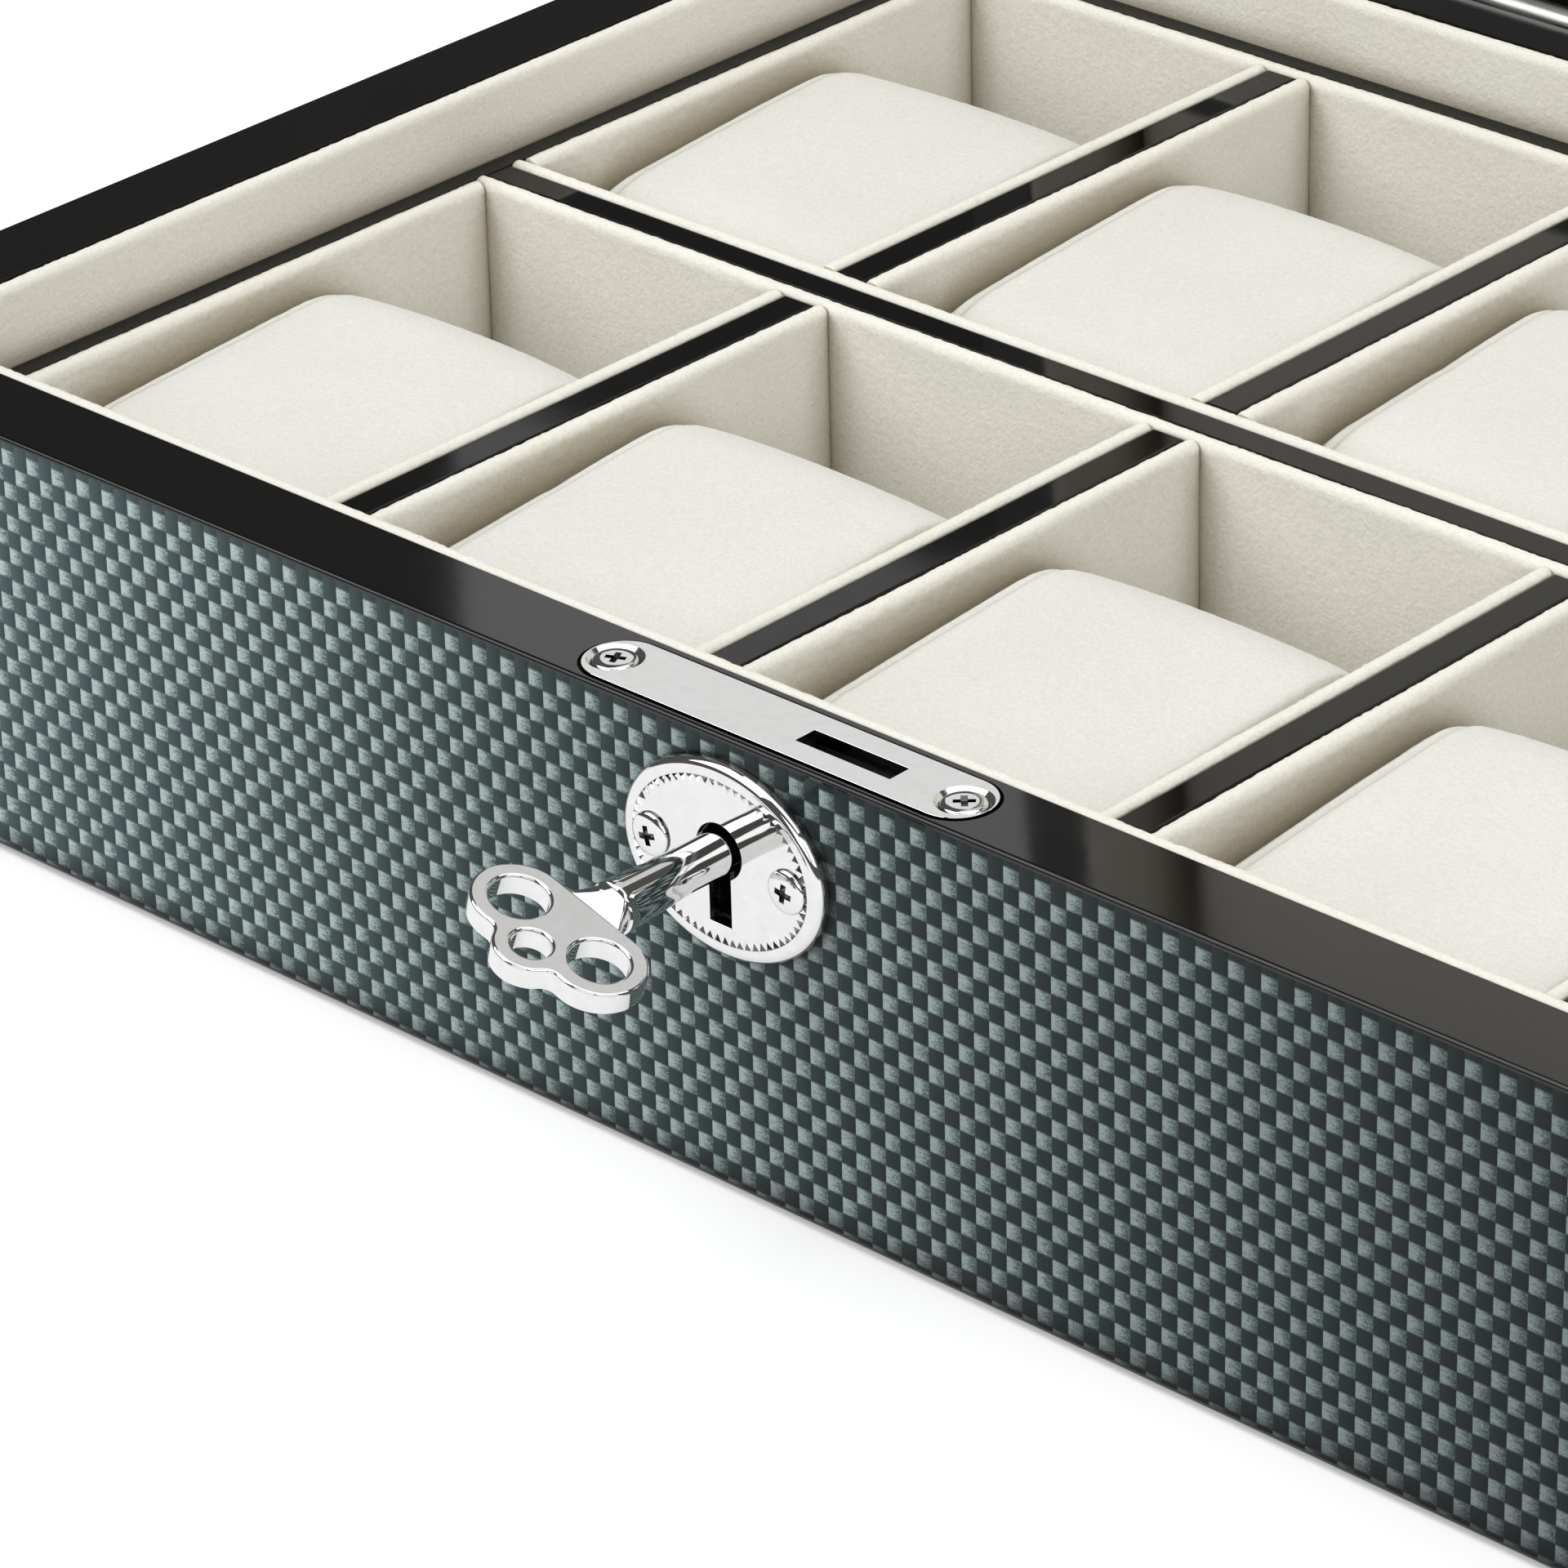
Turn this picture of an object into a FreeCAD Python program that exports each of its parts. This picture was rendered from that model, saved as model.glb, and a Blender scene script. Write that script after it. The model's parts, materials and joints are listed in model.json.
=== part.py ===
import FreeCAD, Part
import os
import re

import Sketcher

# Lockable watch box with a hinged lid, standing open.
# Frame: origin at the centre of the underside, +X along the front, +Y to the hinge side,
# +Z up, millimetres. The lid is drawn closed and then turned open about the hinge axis.

doc = FreeCAD.newDocument("watch_box")

# ---------------------------------------------------------------- driving dimensions
DIMENSIONS = (
    ("box_width", 305, "outer width"),
    ("box_depth", 203, "outer depth"),
    ("rim_height", 53.2, "height of the base's rim above the table"),
    ("lid_height", 27, "height of the lid"),
    ("lid_gap", 0.3, "gap between the two rims when the lid is shut"),
    ("wall", 10.8, "thickness of the boards, and so the rim's width"),
    ("edge_round", 0.45, "rounding of the outer edges"),
    ("border", 0.6, "plain lacquer round each patterned panel"),
    ("hinge_border", 3.4, "plain lacquer between the hinge and a patterned panel"),
    ("skin", 0.5, "thickness of the patterned film panels"),
    ("felt", 0.8, "felt under the floor"),
    ("felt_inset", 3, "felt edge in from the outer faces"),
    ("floor_panel", 4, "floor board"),
    ("lining", 2.2, "velvet cards on the walls"),
    ("floor_card", 1.5, "velvet card on the floor"),
    ("slack", 0.3, "tray to lining"),
    ("tray_drop", 9.6, "tray top below the rim"),
    ("rail", 2.8, "outer slats of the tray"),
    ("mid_rail", 4, "slat along the middle of the tray"),
    ("divider", 4.6, "slats between compartments"),
    ("card", 2.2, "velvet cards in the compartments"),
    ("card_proud", 0.4, "card tops above the slats"),
    ("card_joint", 0.1, "joint between two velvet cards in the lid"),
    ("columns", 5, "compartments in a row"),
    ("cushion_width", 45.4, "across the compartment"),
    ("cushion_length", 58, "front to back"),
    ("cushion_forward", 9.3, "cushions in front of the compartments' middles"),
    ("cushion_height", 34, "bottom to crown"),
    ("cushion_round", 13, "rounding of the long edges"),
    ("cushion_side_round", 3, "rounding of the side seams"),
    ("plate_length", 54.3, "lock plate, end to end"),
    ("plate_width", 9.4, "lock plate, and the strike plate in the lid"),
    ("plate_thick", 1.5, "lock plate and strike plate"),
    ("plate_bevel", 0.5, "lock plate's edge"),
    ("plate_screw_at", 23.55, "screws from the plate's middle"),
    ("plate_slot_at", 8.8, "middle of the slot from the plate's middle"),
    ("plate_slot_length", 12.6, "slot for the hook"),
    ("plate_slot_width", 2.9, "slot for the hook"),
    ("case_length", 36, "lock case"),
    ("case_width", 6.4, "lock case"),
    ("case_depth", 26, "lock case below the plate"),
    ("case_sheet", 0.8, "lock case's sheet"),
    ("post_radius", 1.1, "drill pin that the key's barrel turns on"),
    ("key_at", -3.2, "key axis from the middle of the box"),
    ("key_drop", 12.2, "key axis below the rim"),
    ("key_tilt", 17, "degrees that the bow's right side is turned down from level"),
    ("barrel_radius", 2.4, "key barrel in the lock"),
    ("neck_radius", 2.9, "key barrel at the bow"),
    ("barrel_bore", 1.17, "bore of the barrel"),
    ("bow_at", 23, "middle of the bow's large rings from the escutcheon"),
    ("bow_ring_at", 5.6, "large rings from the key axis"),
    ("bow_ring", 5, "large rings, outside radius"),
    ("bow_hole", 3.1, "large rings, hole radius"),
    ("bow_tip_at", 26.9, "small ring from the escutcheon"),
    ("bow_tip", 3.9, "small ring, outside radius"),
    ("bow_tip_hole", 2.1, "small ring, hole radius"),
    ("bow_thick", 2.6, "bow's plate"),
    ("taper_from", 5, "start of the barrel's taper from the escutcheon"),
    ("neck_gap", 2.2, "from the bow's rings to the barrel's end"),
    ("neck_run", 3, "cone that joins the barrel to the bow"),
    ("bit_reach", 5.6, "end of the bit from the key axis"),
    ("bit_width", 3.4, "bit along the key axis"),
    ("bit_thick", 2, "bit"),
    ("bolt_height", 3.4, "bolt"),
    ("bolt_thick", 2.2, "bolt"),
    ("bolt_length", 14.5, "bolt"),
    ("bolt_tail", 9, "thick guided end of the bolt"),
    ("bolt_guide", 4.6, "thick guided end of the bolt"),
    ("bolt_travel", 6, "bolt travel over the key's half turn"),
    ("hook_drop", 8, "hook below the lid's rim"),
    ("hook_length", 11.6, "hook along the slot"),
    ("hook_thick", 2.3, "hook"),
    ("oval_width", 27.2, "escutcheon"),
    ("oval_height", 21.8, "escutcheon"),
    ("oval_thick", 1.5, "escutcheon"),
    ("oval_round", 0.6, "rounding of the escutcheon's rim"),
    ("oval_drop", 13.4, "middle of the escutcheon below the rim"),
    ("oval_screw_at", 9.3, "escutcheon's screws from its middle"),
    ("keyhole_radius", 3.1, "round part of the keyhole"),
    ("keyhole_slot", 3, "width of the keyhole's slot"),
    ("keyhole_reach", 8.3, "foot of the keyhole below the key axis"),
    ("screw_head", 2.45, "screw heads, radius"),
    ("screw_shank", 1.3, "screw shanks, radius"),
    ("screw_length", 9, "screws in the rims"),
    ("oval_screw_length", 3.5, "escutcheon's screws, which stop short of the lock case"),
    ("recess_span", 1.2, "cross recess, as a share of the head's radius"),
    ("recess_width", 0.26, "cross recess, as a share of the head's radius"),
    ("recess_depth", 0.35, "cross recess, as a share of the head's radius"),
    ("hinge_inset", 2, "hinge axis in from the back face"),
    ("hinge_length", 300, "continuous hinge"),
    ("knuckle", 1.6, "hinge knuckle radius"),
    ("knuckles", 15, "number of knuckles, alternately base and lid"),
    ("knuckle_gap", 0.4, "gap between two knuckles"),
    ("pin", 0.8, "hinge pin radius"),
    ("pin_play", 0.06, "play round the pin in the lid's knuckles"),
    ("leaf", 0.8, "hinge leaf thickness"),
    ("leaf_depth", 9, "hinge leaf in its saw cut"),
    ("open_angle", 95, "lid at its stop"),
    ("lid_panel", 5, "top board of the lid"),
    ("lid_border", 2.2, "lacquer round the top film panel"),
    ("lid_pad", 6, "padded panel inside the lid"),
    ("play", 0.3, "clearance beside moving parts"),
    ("hair", 0.1, "gap between a loose piece and what it stands on"),
    ("over", 1, "how far a cut runs past the surface that it opens"),
)

sheet = doc.addObject("Spreadsheet::Sheet", "sheet")
sheet.Label = "driving dimensions"
for row, (alias, value, meaning) in enumerate(DIMENSIONS, 1):
    sheet.set(f"A{row}", meaning)
    sheet.set(f"B{row}", str(value))
    sheet.setAlias(f"B{row}", alias)
doc.recompute()

ALIASES = {alias for alias, value, meaning in DIMENSIONS}


def formula(text):
    """The text as a spreadsheet-bound expression: every alias gets the sheet's name."""
    return re.sub(r"[a-z_]+", lambda m: f"sheet.{m[0]}" if m[0] in ALIASES else m[0], str(text))


def size(alias):
    return float(sheet.get(alias))


# ---------------------------------------------------------------- derived places
AXIS_Y = "(box_depth / 2 - hinge_inset)"
LID_LOW = "(rim_height + lid_gap)"
LID_TOP = f"({LID_LOW} + lid_height)"
FLOOR = "(felt + floor_panel)"
CELL_FLOOR = f"({FLOOR} + floor_card)"
TRAY_TOP = "(rim_height - tray_drop)"
TRAY_X = "(box_width / 2 - wall - lining - slack)"
TRAY_Y = "(box_depth / 2 - wall - lining - slack)"
CELL_X = f"((2 * ({TRAY_X} - rail) - (columns - 1) * divider) / columns)"
PITCH = f"({CELL_X} + divider)"
CELL_Y = f"({TRAY_Y} - rail - mid_rail / 2)"
PLATE_Y = "(wall / 2 - box_depth / 2)"
KEY_Z = "(rim_height - key_drop)"
OVAL_FACE = "(-box_depth / 2 - oval_thick)"
OVAL_Z = "(rim_height - oval_drop)"
COLUMNS = int(size("columns"))
SPANS = range(COLUMNS)

UPRIGHT = FreeCAD.Rotation()
ALONG_X = FreeCAD.Rotation(FreeCAD.Vector(0, 1, 0), 90)
FORWARD = FreeCAD.Rotation(FreeCAD.Vector(1, 0, 0), 90)
INWARD = FreeCAD.Rotation(FreeCAD.Vector(1, 0, 0), -90)
DOWN = FreeCAD.Rotation(FreeCAD.Vector(1, 0, 0), 180)

pieces = []


# ---------------------------------------------------------------- building blocks
def new_piece(name):
    """A body whose label is the sub-part's name."""
    body = doc.addObject("PartDesign::Body", name)
    body.Label = name
    pieces.append(body)
    return body


def bind(feature, **sizes):
    for prop, text in sizes.items():
        feature.setExpression(prop, formula(text))


def put(feature, at, turn=UPRIGHT):
    feature.Placement = FreeCAD.Placement(FreeCAD.Vector(), turn)
    for axis, text in zip("xyz", at):
        feature.setExpression(f"Placement.Base.{axis}", formula(text))


def block(body, size_xyz, low, cut=False):
    """A box from its lowest corner, added to the body or cut from it."""
    kind = "SubtractiveBox" if cut else "AdditiveBox"
    feature = body.newObject(f"PartDesign::{kind}", "cut" if cut else "block")
    length, width, height = size_xyz
    bind(feature, Length=length, Width=width, Height=height)
    put(feature, low)
    return feature


def centred(body, size_xyz, centre_x, centre_y, low_z, cut=False):
    length, width, height = size_xyz
    low = (f"{centre_x} - ({length}) / 2", f"{centre_y} - ({width}) / 2", low_z)
    return block(body, size_xyz, low, cut)


def rod(body, radius, length, start, turn=UPRIGHT, cut=False):
    """A cylinder from the middle of its first end."""
    kind = "SubtractiveCylinder" if cut else "AdditiveCylinder"
    feature = body.newObject(f"PartDesign::{kind}", "bore" if cut else "rod")
    bind(feature, Radius=radius, Height=length)
    put(feature, start, turn)
    return feature


def cone(body, radius, end_radius, length, start, turn=UPRIGHT, cut=False):
    kind = "SubtractiveCone" if cut else "AdditiveCone"
    feature = body.newObject(f"PartDesign::{kind}", "sink" if cut else "cone")
    bind(feature, Radius1=radius, Radius2=end_radius, Height=length)
    put(feature, start, turn)
    return feature


def origin_plane(body, role):
    return next(item for item in body.Origin.OriginFeatures if item.Role == role)


def polygon(body, role, corners):
    """A closed sketch whose corners are all bound to the sheet."""
    sketch = body.newObject("Sketcher::SketchObject", "outline")
    sketch.AttachmentSupport = [(origin_plane(body, role), "")]
    sketch.MapMode = "FlatFace"
    last = len(corners) - 1
    for index in range(len(corners)):
        start = FreeCAD.Vector(index, index * index, 0)
        following = 0 if index == last else index + 1
        end = FreeCAD.Vector(following, following * following, 0)
        sketch.addGeometry(Part.LineSegment(start, end))
    for index in range(len(corners)):
        following = 0 if index == last else index + 1
        sketch.addConstraint(Sketcher.Constraint("Coincident", index, 2, following, 1))
    for index, corner in enumerate(corners):
        for kind, text in zip(("DistanceX", "DistanceY"), corner):
            guess = float(index if kind == "DistanceX" else index * index)
            number = sketch.addConstraint(Sketcher.Constraint(kind, -1, 1, index, 1, guess))
            sketch.setExpression(f"Constraints[{number}]", formula(text))
    return sketch


def round_edges(body, radius, wanted):
    """Fillet the edges of the body's last feature whose middle passes the test."""
    doc.recompute()
    base = body.Tip
    names = [
        f"Edge{number}"
        for number, edge in enumerate(base.Shape.Edges, 1)
        if wanted(edge.CenterOfMass)
    ]
    fillet = body.newObject("PartDesign::Fillet", "rounding")
    fillet.Base = (base, names)
    bind(fillet, Radius=radius)
    return fillet


def near(a, b):
    return abs(a - b) < 0.01


# ---------------------------------------------------------------- frames of four walls
def slab(side, low, high):
    """Size and lowest corner of the film panel let into one outer face of a frame."""
    hinged_edge = "hinge_border" if side == "back" else "border"
    below, above = (hinged_edge, "border") if low == LID_LOW else ("border", hinged_edge)
    span = f"({high}) - ({low}) - {below} - {above}"
    bottom = f"({low}) + {below}"
    across = ("box_width - 2 * border", "skin", span)
    endways = ("skin", "box_depth - border - hinge_border", span)
    return {
        "front": (across, ("border - box_width / 2", "-box_depth / 2", bottom)),
        "back": (across, ("border - box_width / 2", "box_depth / 2 - skin", bottom)),
        "left": (endways, ("-box_width / 2", "border - box_depth / 2", bottom)),
        "right": (endways, ("box_width / 2 - skin", "border - box_depth / 2", bottom)),
    }[side]


def wall(name, side, low, high, hinge_at_top):
    """One board of a frame: front and back run the full width, the sides stand between them."""
    body = new_piece(name)
    height = f"({high}) - ({low})"
    across = side in ("front", "back")
    sign = -1 if side in ("front", "left") else 1
    if across:
        middle_y = f"{sign} * (box_depth - wall) / 2"
        centred(body, ("box_width", "wall", height), "0", middle_y, low)
    else:
        middle_x = f"{sign} * (box_width - wall) / 2"
        centred(body, ("wall", "box_depth - 2 * wall", height), middle_x, "0", low)
    doc.recompute()
    bounds = body.Shape.BoundBox
    half_x = size("box_width") / 2
    half_y = size("box_depth") / 2
    sum_z = bounds.ZMin + bounds.ZMax
    hinged_z = bounds.ZMax if hinge_at_top else bounds.ZMin

    def outer_edge(middle):
        on_face = near(middle.y, sign * half_y) if across else near(middle.x, sign * half_x)
        on_end = across and near(abs(middle.x), half_x) and not near(middle.z, sum_z / 2)
        hinge_edge = side == "back" and near(middle.z, hinged_z) and near(middle.y, half_y)
        return (on_face or on_end) and not hinge_edge

    round_edges(body, "edge_round", outer_edge)
    for face in (side, "left", "right") if across else (side,):
        block(body, *slab(face, low, high), cut=True)
    return body


def film(body, side, low, high):
    block(body, *slab(side, low, high))


def hinge_rebate(body, sign):
    """Groove for the knuckles, saw cut for the leaf, and the bevel that stops the lid."""
    reach = "(hinge_inset + over)"
    slope = f"{reach} * tan(open_angle / 2)"
    outline = polygon(
        body,
        "YZ_Plane",
        (
            (AXIS_Y, "rim_height"),
            (f"{AXIS_Y} + {reach}", f"rim_height - {sign} * {slope}"),
            (f"{AXIS_Y} + {reach}", f"rim_height + {sign} * over"),
            (AXIS_Y, f"rim_height + {sign} * over"),
        ),
    )
    bevel = body.newObject("PartDesign::Pocket", "bevel")
    bevel.Profile = outline
    bevel.SideType = "Symmetric"
    bind(bevel, Length="box_width + 2 * over")
    start = ("-box_width / 2 - over", AXIS_Y, "rim_height")
    rod(body, "knuckle + play / 2", "box_width + 2 * over", start, ALONG_X, cut=True)
    low = "rim_height - leaf_depth" if sign > 0 else "rim_height"
    saw = ("hinge_length", "leaf", "leaf_depth")
    block(body, saw, ("-hinge_length / 2", f"{AXIS_Y} - knuckle", low), cut=True)


# ---------------------------------------------------------------- screws
def screw(body, at, turn, length="screw_length"):
    """Countersunk screw with a cross recess; at is the middle of its head's face."""
    heading = turn.multVec(FreeCAD.Vector(0, 0, 1))
    head_depth = "(screw_head - screw_shank)"

    def along(distance):
        parts = (heading.x, heading.y, heading.z)
        return tuple(f"{p} + {round(part)} * ({distance})" for p, part in zip(at, parts))

    cone(body, "screw_head", "screw_shank", head_depth, at, turn)
    rod(body, "screw_shank", f"{length} - {head_depth}", along(head_depth), turn)
    doc.recompute()
    for quarter in (0, 90):
        spin = turn.multiply(FreeCAD.Rotation(FreeCAD.Vector(0, 0, 1), quarter))
        arm = body.newObject("PartDesign::SubtractiveBox", "recess")
        bind(
            arm,
            Length="screw_head * recess_span",
            Width="screw_head * recess_width",
            Height="screw_head * recess_depth",
        )
        arm.Placement = FreeCAD.Placement(FreeCAD.Vector(), spin)
        long_way = spin.multVec(FreeCAD.Vector(1, 0, 0))
        short_way = spin.multVec(FreeCAD.Vector(0, 1, 0))
        for axis, text, span_part, width_part in zip("xyz", at, long_way, short_way):
            back = f"({round(span_part)} * recess_span + {round(width_part)} * recess_width)"
            arm.setExpression(
                f"Placement.Base.{axis}", formula(f"{text} - screw_head / 2 * {back}")
            )


def sink(body, at, turn, length="screw_length"):
    """The countersunk hole that such a screw sits in."""
    rod(body, "screw_shank", length, at, turn, cut=True)
    cone(body, "screw_head", "screw_shank", "screw_head - screw_shank", at, turn, cut=True)


# ---------------------------------------------------------------- base carcass
def base_carcass():
    for side in ("front", "back", "left", "right"):
        body = wall(f"base_wall_{side}", side, "felt", "rim_height", True)
        if side == "front":
            lock_mortise(body)
        if side == "back":
            hinge_rebate(body, 1)
        skin_body = new_piece(f"base_skin_{side}")
        film(skin_body, side, "felt", "rim_height")
        if side == "front":
            keyway(skin_body, "keyhole_radius + play", "-box_depth / 2 - over", "skin + 2 * over")
            for sign in (-1, 1):
                hole = (f"key_at + {sign} * oval_screw_at", "-box_depth / 2 - over", OVAL_Z)
                rod(skin_body, "screw_shank", "skin + 2 * over", hole, INWARD, cut=True)
    floor = ("box_width - 2 * wall", "box_depth - 2 * wall", "floor_panel")
    centred(new_piece("base_bottom_panel"), floor, "0", "0", "felt")
    pad = ("box_width - 2 * felt_inset", "box_depth - 2 * felt_inset", "felt")
    centred(new_piece("base_felt"), pad, "0", "0", "0")


def keyway(body, radius, from_y, depth):
    """Keyhole through a board or sheet: a round hole with a slot below it."""
    rod(body, radius, depth, ("key_at", from_y, KEY_Z), INWARD, cut=True)
    slot = (f"keyhole_slot + 2 * ({radius} - keyhole_radius)", depth, "keyhole_reach")
    low_x = f"key_at - keyhole_slot / 2 - ({radius} - keyhole_radius)"
    block(body, slot, (low_x, from_y, f"{KEY_Z} - keyhole_reach"), cut=True)


def lock_mortise(body):
    """Recess for the plate, mortise for the case, keyhole, and pilot holes."""
    obround(body, "rim_height - plate_thick", "plate_thick + over", cut=True)
    mortise = ("case_length", "case_width", "case_depth + plate_thick + over")
    centred(body, mortise, "0", PLATE_Y, "rim_height - plate_thick - case_depth", cut=True)
    to_mortise = "(wall - case_width) / 2 + over + play"
    keyway(body, "keyhole_radius + play", "-box_depth / 2 - over", to_mortise)
    for sign in (-1, 1):
        top = (f"{sign} * plate_screw_at", PLATE_Y, "rim_height")
        rod(body, "screw_shank", "screw_length", top, DOWN, cut=True)
        side = (f"key_at + {sign} * oval_screw_at", "-box_depth / 2 - over", OVAL_Z)
        rod(body, "screw_shank", "oval_screw_length + over - oval_thick", side, INWARD, cut=True)


def obround(body, low_z, height, cut=False):
    """The lock plate's outline with half-round ends, as a plate or as its recess."""
    straight = ("plate_length - plate_width", "plate_width", height)
    centred(body, straight, "0", PLATE_Y, low_z, cut)
    for sign in (-1, 1):
        end = (f"{sign} * (plate_length - plate_width) / 2", PLATE_Y, low_z)
        rod(body, "plate_width / 2", height, end, UPRIGHT, cut)


# ---------------------------------------------------------------- lining and tray
def lining():
    run_x = "box_width - 2 * wall"
    run_y = "box_depth - 2 * wall - 2 * lining"
    height = f"rim_height - {FLOOR}"
    for side, sign in (("front", -1), ("back", 1)):
        middle = f"{sign} * (box_depth / 2 - wall - lining / 2)"
        centred(new_piece(f"lining_{side}"), (run_x, "lining", height), "0", middle, FLOOR)
    for side, sign in (("left", -1), ("right", 1)):
        middle = f"{sign} * (box_width / 2 - wall - lining / 2)"
        centred(new_piece(f"lining_{side}"), ("lining", run_y, height), middle, "0", FLOOR)
    floor = (f"{run_x} - 2 * lining", run_y, "floor_card")
    centred(new_piece("floor_card"), floor, "0", "0", FLOOR)


def tray():
    height = f"{TRAY_TOP} - {CELL_FLOOR}"
    card_height = f"{height} + card_proud"
    inside_x = f"2 * ({TRAY_X} - rail)"
    for side, sign in (("front", -1), ("back", 1)):
        middle = f"{sign} * ({TRAY_Y} - rail / 2)"
        rail = (f"2 * {TRAY_X}", "rail", height)
        centred(new_piece(f"tray_rail_{side}"), rail, "0", middle, CELL_FLOOR)
        card_y = f"{sign} * ({TRAY_Y} - rail - card / 2)"
        card = (inside_x, "card", card_height)
        centred(new_piece(f"tray_card_{side}"), card, "0", card_y, CELL_FLOOR)
        middle_y = f"{sign} * (mid_rail + card) / 2"
        centred(new_piece(f"tray_card_middle_{side}"), card, "0", middle_y, CELL_FLOOR)
        row_y = f"{sign} * ({CELL_Y} + mid_rail) / 2"
        row_run = f"{CELL_Y} - 2 * card"
        dividers = new_piece(f"tray_dividers_{side}")
        for index in range(COLUMNS - 1):
            at_x = f"({index} - (columns - 2) / 2) * {PITCH}"
            centred(dividers, ("divider", row_run, height), at_x, row_y, CELL_FLOOR)
        cards = new_piece(f"tray_side_cards_{side}")
        for index in SPANS:
            for face in (-1, 1):
                at_x = f"({index} - (columns - 1) / 2) * {PITCH} + {face} * ({CELL_X} - card) / 2"
                centred(cards, ("card", row_run, card_height), at_x, row_y, CELL_FLOOR)
    for side, sign in (("left", -1), ("right", 1)):
        middle = f"{sign} * ({TRAY_X} - rail / 2)"
        rail = ("rail", f"2 * ({TRAY_Y} - rail)", height)
        centred(new_piece(f"tray_rail_{side}"), rail, middle, "0", CELL_FLOOR)
    centred(new_piece("tray_rail_middle"), (inside_x, "mid_rail", height), "0", "0", CELL_FLOOR)


def cushions():
    for side, sign in (("front", -1), ("back", 1)):
        for index in SPANS:
            body = new_piece(f"cushion_{side}_{index + 1}")
            at_x = f"({index} - (columns - 1) / 2) * {PITCH}"
            at_y = f"{sign} * ({CELL_Y} + mid_rail) / 2 - cushion_forward"
            low = f"{CELL_FLOOR} + hair"
            centred(body, ("cushion_width", "cushion_length", "cushion_height"), at_x, at_y, low)
            doc.recompute()
            bounds = body.Shape.BoundBox
            middle = bounds.Center
            round_edges(
                body,
                "cushion_round",
                lambda p: not near(p.y, middle.y) and not near(p.z, middle.z),
            )
            round_edges(
                body,
                "cushion_side_round",
                lambda p: near(p.x, bounds.XMin) or near(p.x, bounds.XMax),
            )


# ---------------------------------------------------------------- lock
def lock():
    plate = new_piece("lock_plate")
    obround(plate, "rim_height - plate_thick", "plate_thick")
    doc.recompute()
    top = plate.Shape.BoundBox.ZMax
    round_edges(plate, "plate_bevel", lambda p: near(p.z, top))
    slot = ("plate_slot_length", "plate_slot_width", "plate_thick + 2 * over")
    centred(plate, slot, "plate_slot_at", PLATE_Y, "rim_height - plate_thick - over", cut=True)
    screws = new_piece("lock_plate_screws")
    for sign in (-1, 1):
        at = (f"{sign} * plate_screw_at", PLATE_Y, "rim_height")
        sink(plate, at, DOWN)
        screw(screws, at, DOWN)

    case = new_piece("lock_case")
    low = "rim_height - plate_thick - case_depth"
    centred(case, ("case_length", "case_width", "case_depth"), "0", PLATE_Y, low)
    hollow = ("case_length - 2 * case_sheet", "case_width - 2 * case_sheet", "case_depth")
    centred(case, hollow, "0", PLATE_Y, f"{low} + case_sheet", cut=True)
    keyway(case, "keyhole_radius", f"{PLATE_Y} - case_width / 2 - play", "case_sheet + 2 * play")
    post_start = ("key_at", f"{PLATE_Y} + case_width / 2", KEY_Z)
    rod(case, "post_radius", "case_width", post_start, FORWARD)

    bolt = new_piece("lock_bolt")
    shift = "(90 - key_tilt) / 180 * bolt_travel"
    bolt_low = (
        f"{shift} - bolt_length",
        f"{PLATE_Y} - bolt_thick / 2",
        f"{KEY_Z} + bit_reach + play",
    )
    block(bolt, ("bolt_length", "bolt_thick", "bolt_height"), bolt_low)
    tail_low = (bolt_low[0], f"{PLATE_Y} - bolt_guide / 2", bolt_low[2])
    block(bolt, ("bolt_tail", "bolt_guide", "bolt_height"), tail_low)


def escutcheon():
    body = new_piece("escutcheon")
    sketch = body.newObject("Sketcher::SketchObject", "oval")
    sketch.AttachmentSupport = [(origin_plane(body, "XZ_Plane"), "")]
    sketch.MapMode = "FlatFace"
    half_x = size("oval_width") / 2
    half_z = size("oval_height") / 2
    middle = FreeCAD.Vector(size("key_at"), size("rim_height") - size("oval_drop"), 0)
    right = middle + FreeCAD.Vector(half_x, 0, 0)
    top = middle + FreeCAD.Vector(0, half_z, 0)
    sketch.addGeometry(Part.Ellipse(right, top, middle))
    sketch.exposeInternalGeometry(0)
    bounds = (
        ("DistanceX", -1, 1, 0, 3, middle.x, "key_at"),
        ("DistanceY", -1, 1, 0, 3, middle.y, OVAL_Z),
    )
    for kind, first, first_at, second, second_at, value, text in bounds:
        rule = Sketcher.Constraint(kind, first, first_at, second, second_at, value)
        sketch.setExpression(f"Constraints[{sketch.addConstraint(rule)}]", formula(text))
    for axis, text in ((1, "oval_width"), (2, "oval_height")):
        rule = Sketcher.Constraint("Distance", axis, 1, axis, 2, size(text))
        sketch.setExpression(f"Constraints[{sketch.addConstraint(rule)}]", formula(text))
    sketch.addConstraint(Sketcher.Constraint("Horizontal", 1))
    oval = body.newObject("PartDesign::Pad", "plate")
    oval.Profile = sketch
    bind(oval, Length="oval_thick")
    sketch.AttachmentOffset = FreeCAD.Placement(FreeCAD.Vector(), UPRIGHT)
    sketch.setExpression("AttachmentOffset.Base.z", formula("box_depth / 2"))
    doc.recompute()
    front = body.Shape.BoundBox.YMin
    round_edges(body, "oval_round", lambda p: near(p.y, front))
    keyway(body, "keyhole_radius", f"{OVAL_FACE} - over", "oval_thick + 2 * over")
    screws = new_piece("escutcheon_screws")
    for sign in (-1, 1):
        at = (f"key_at + {sign} * oval_screw_at", OVAL_FACE, OVAL_Z)
        sink(body, at, INWARD, "oval_screw_length")
        screw(screws, at, INWARD, "oval_screw_length")


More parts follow.
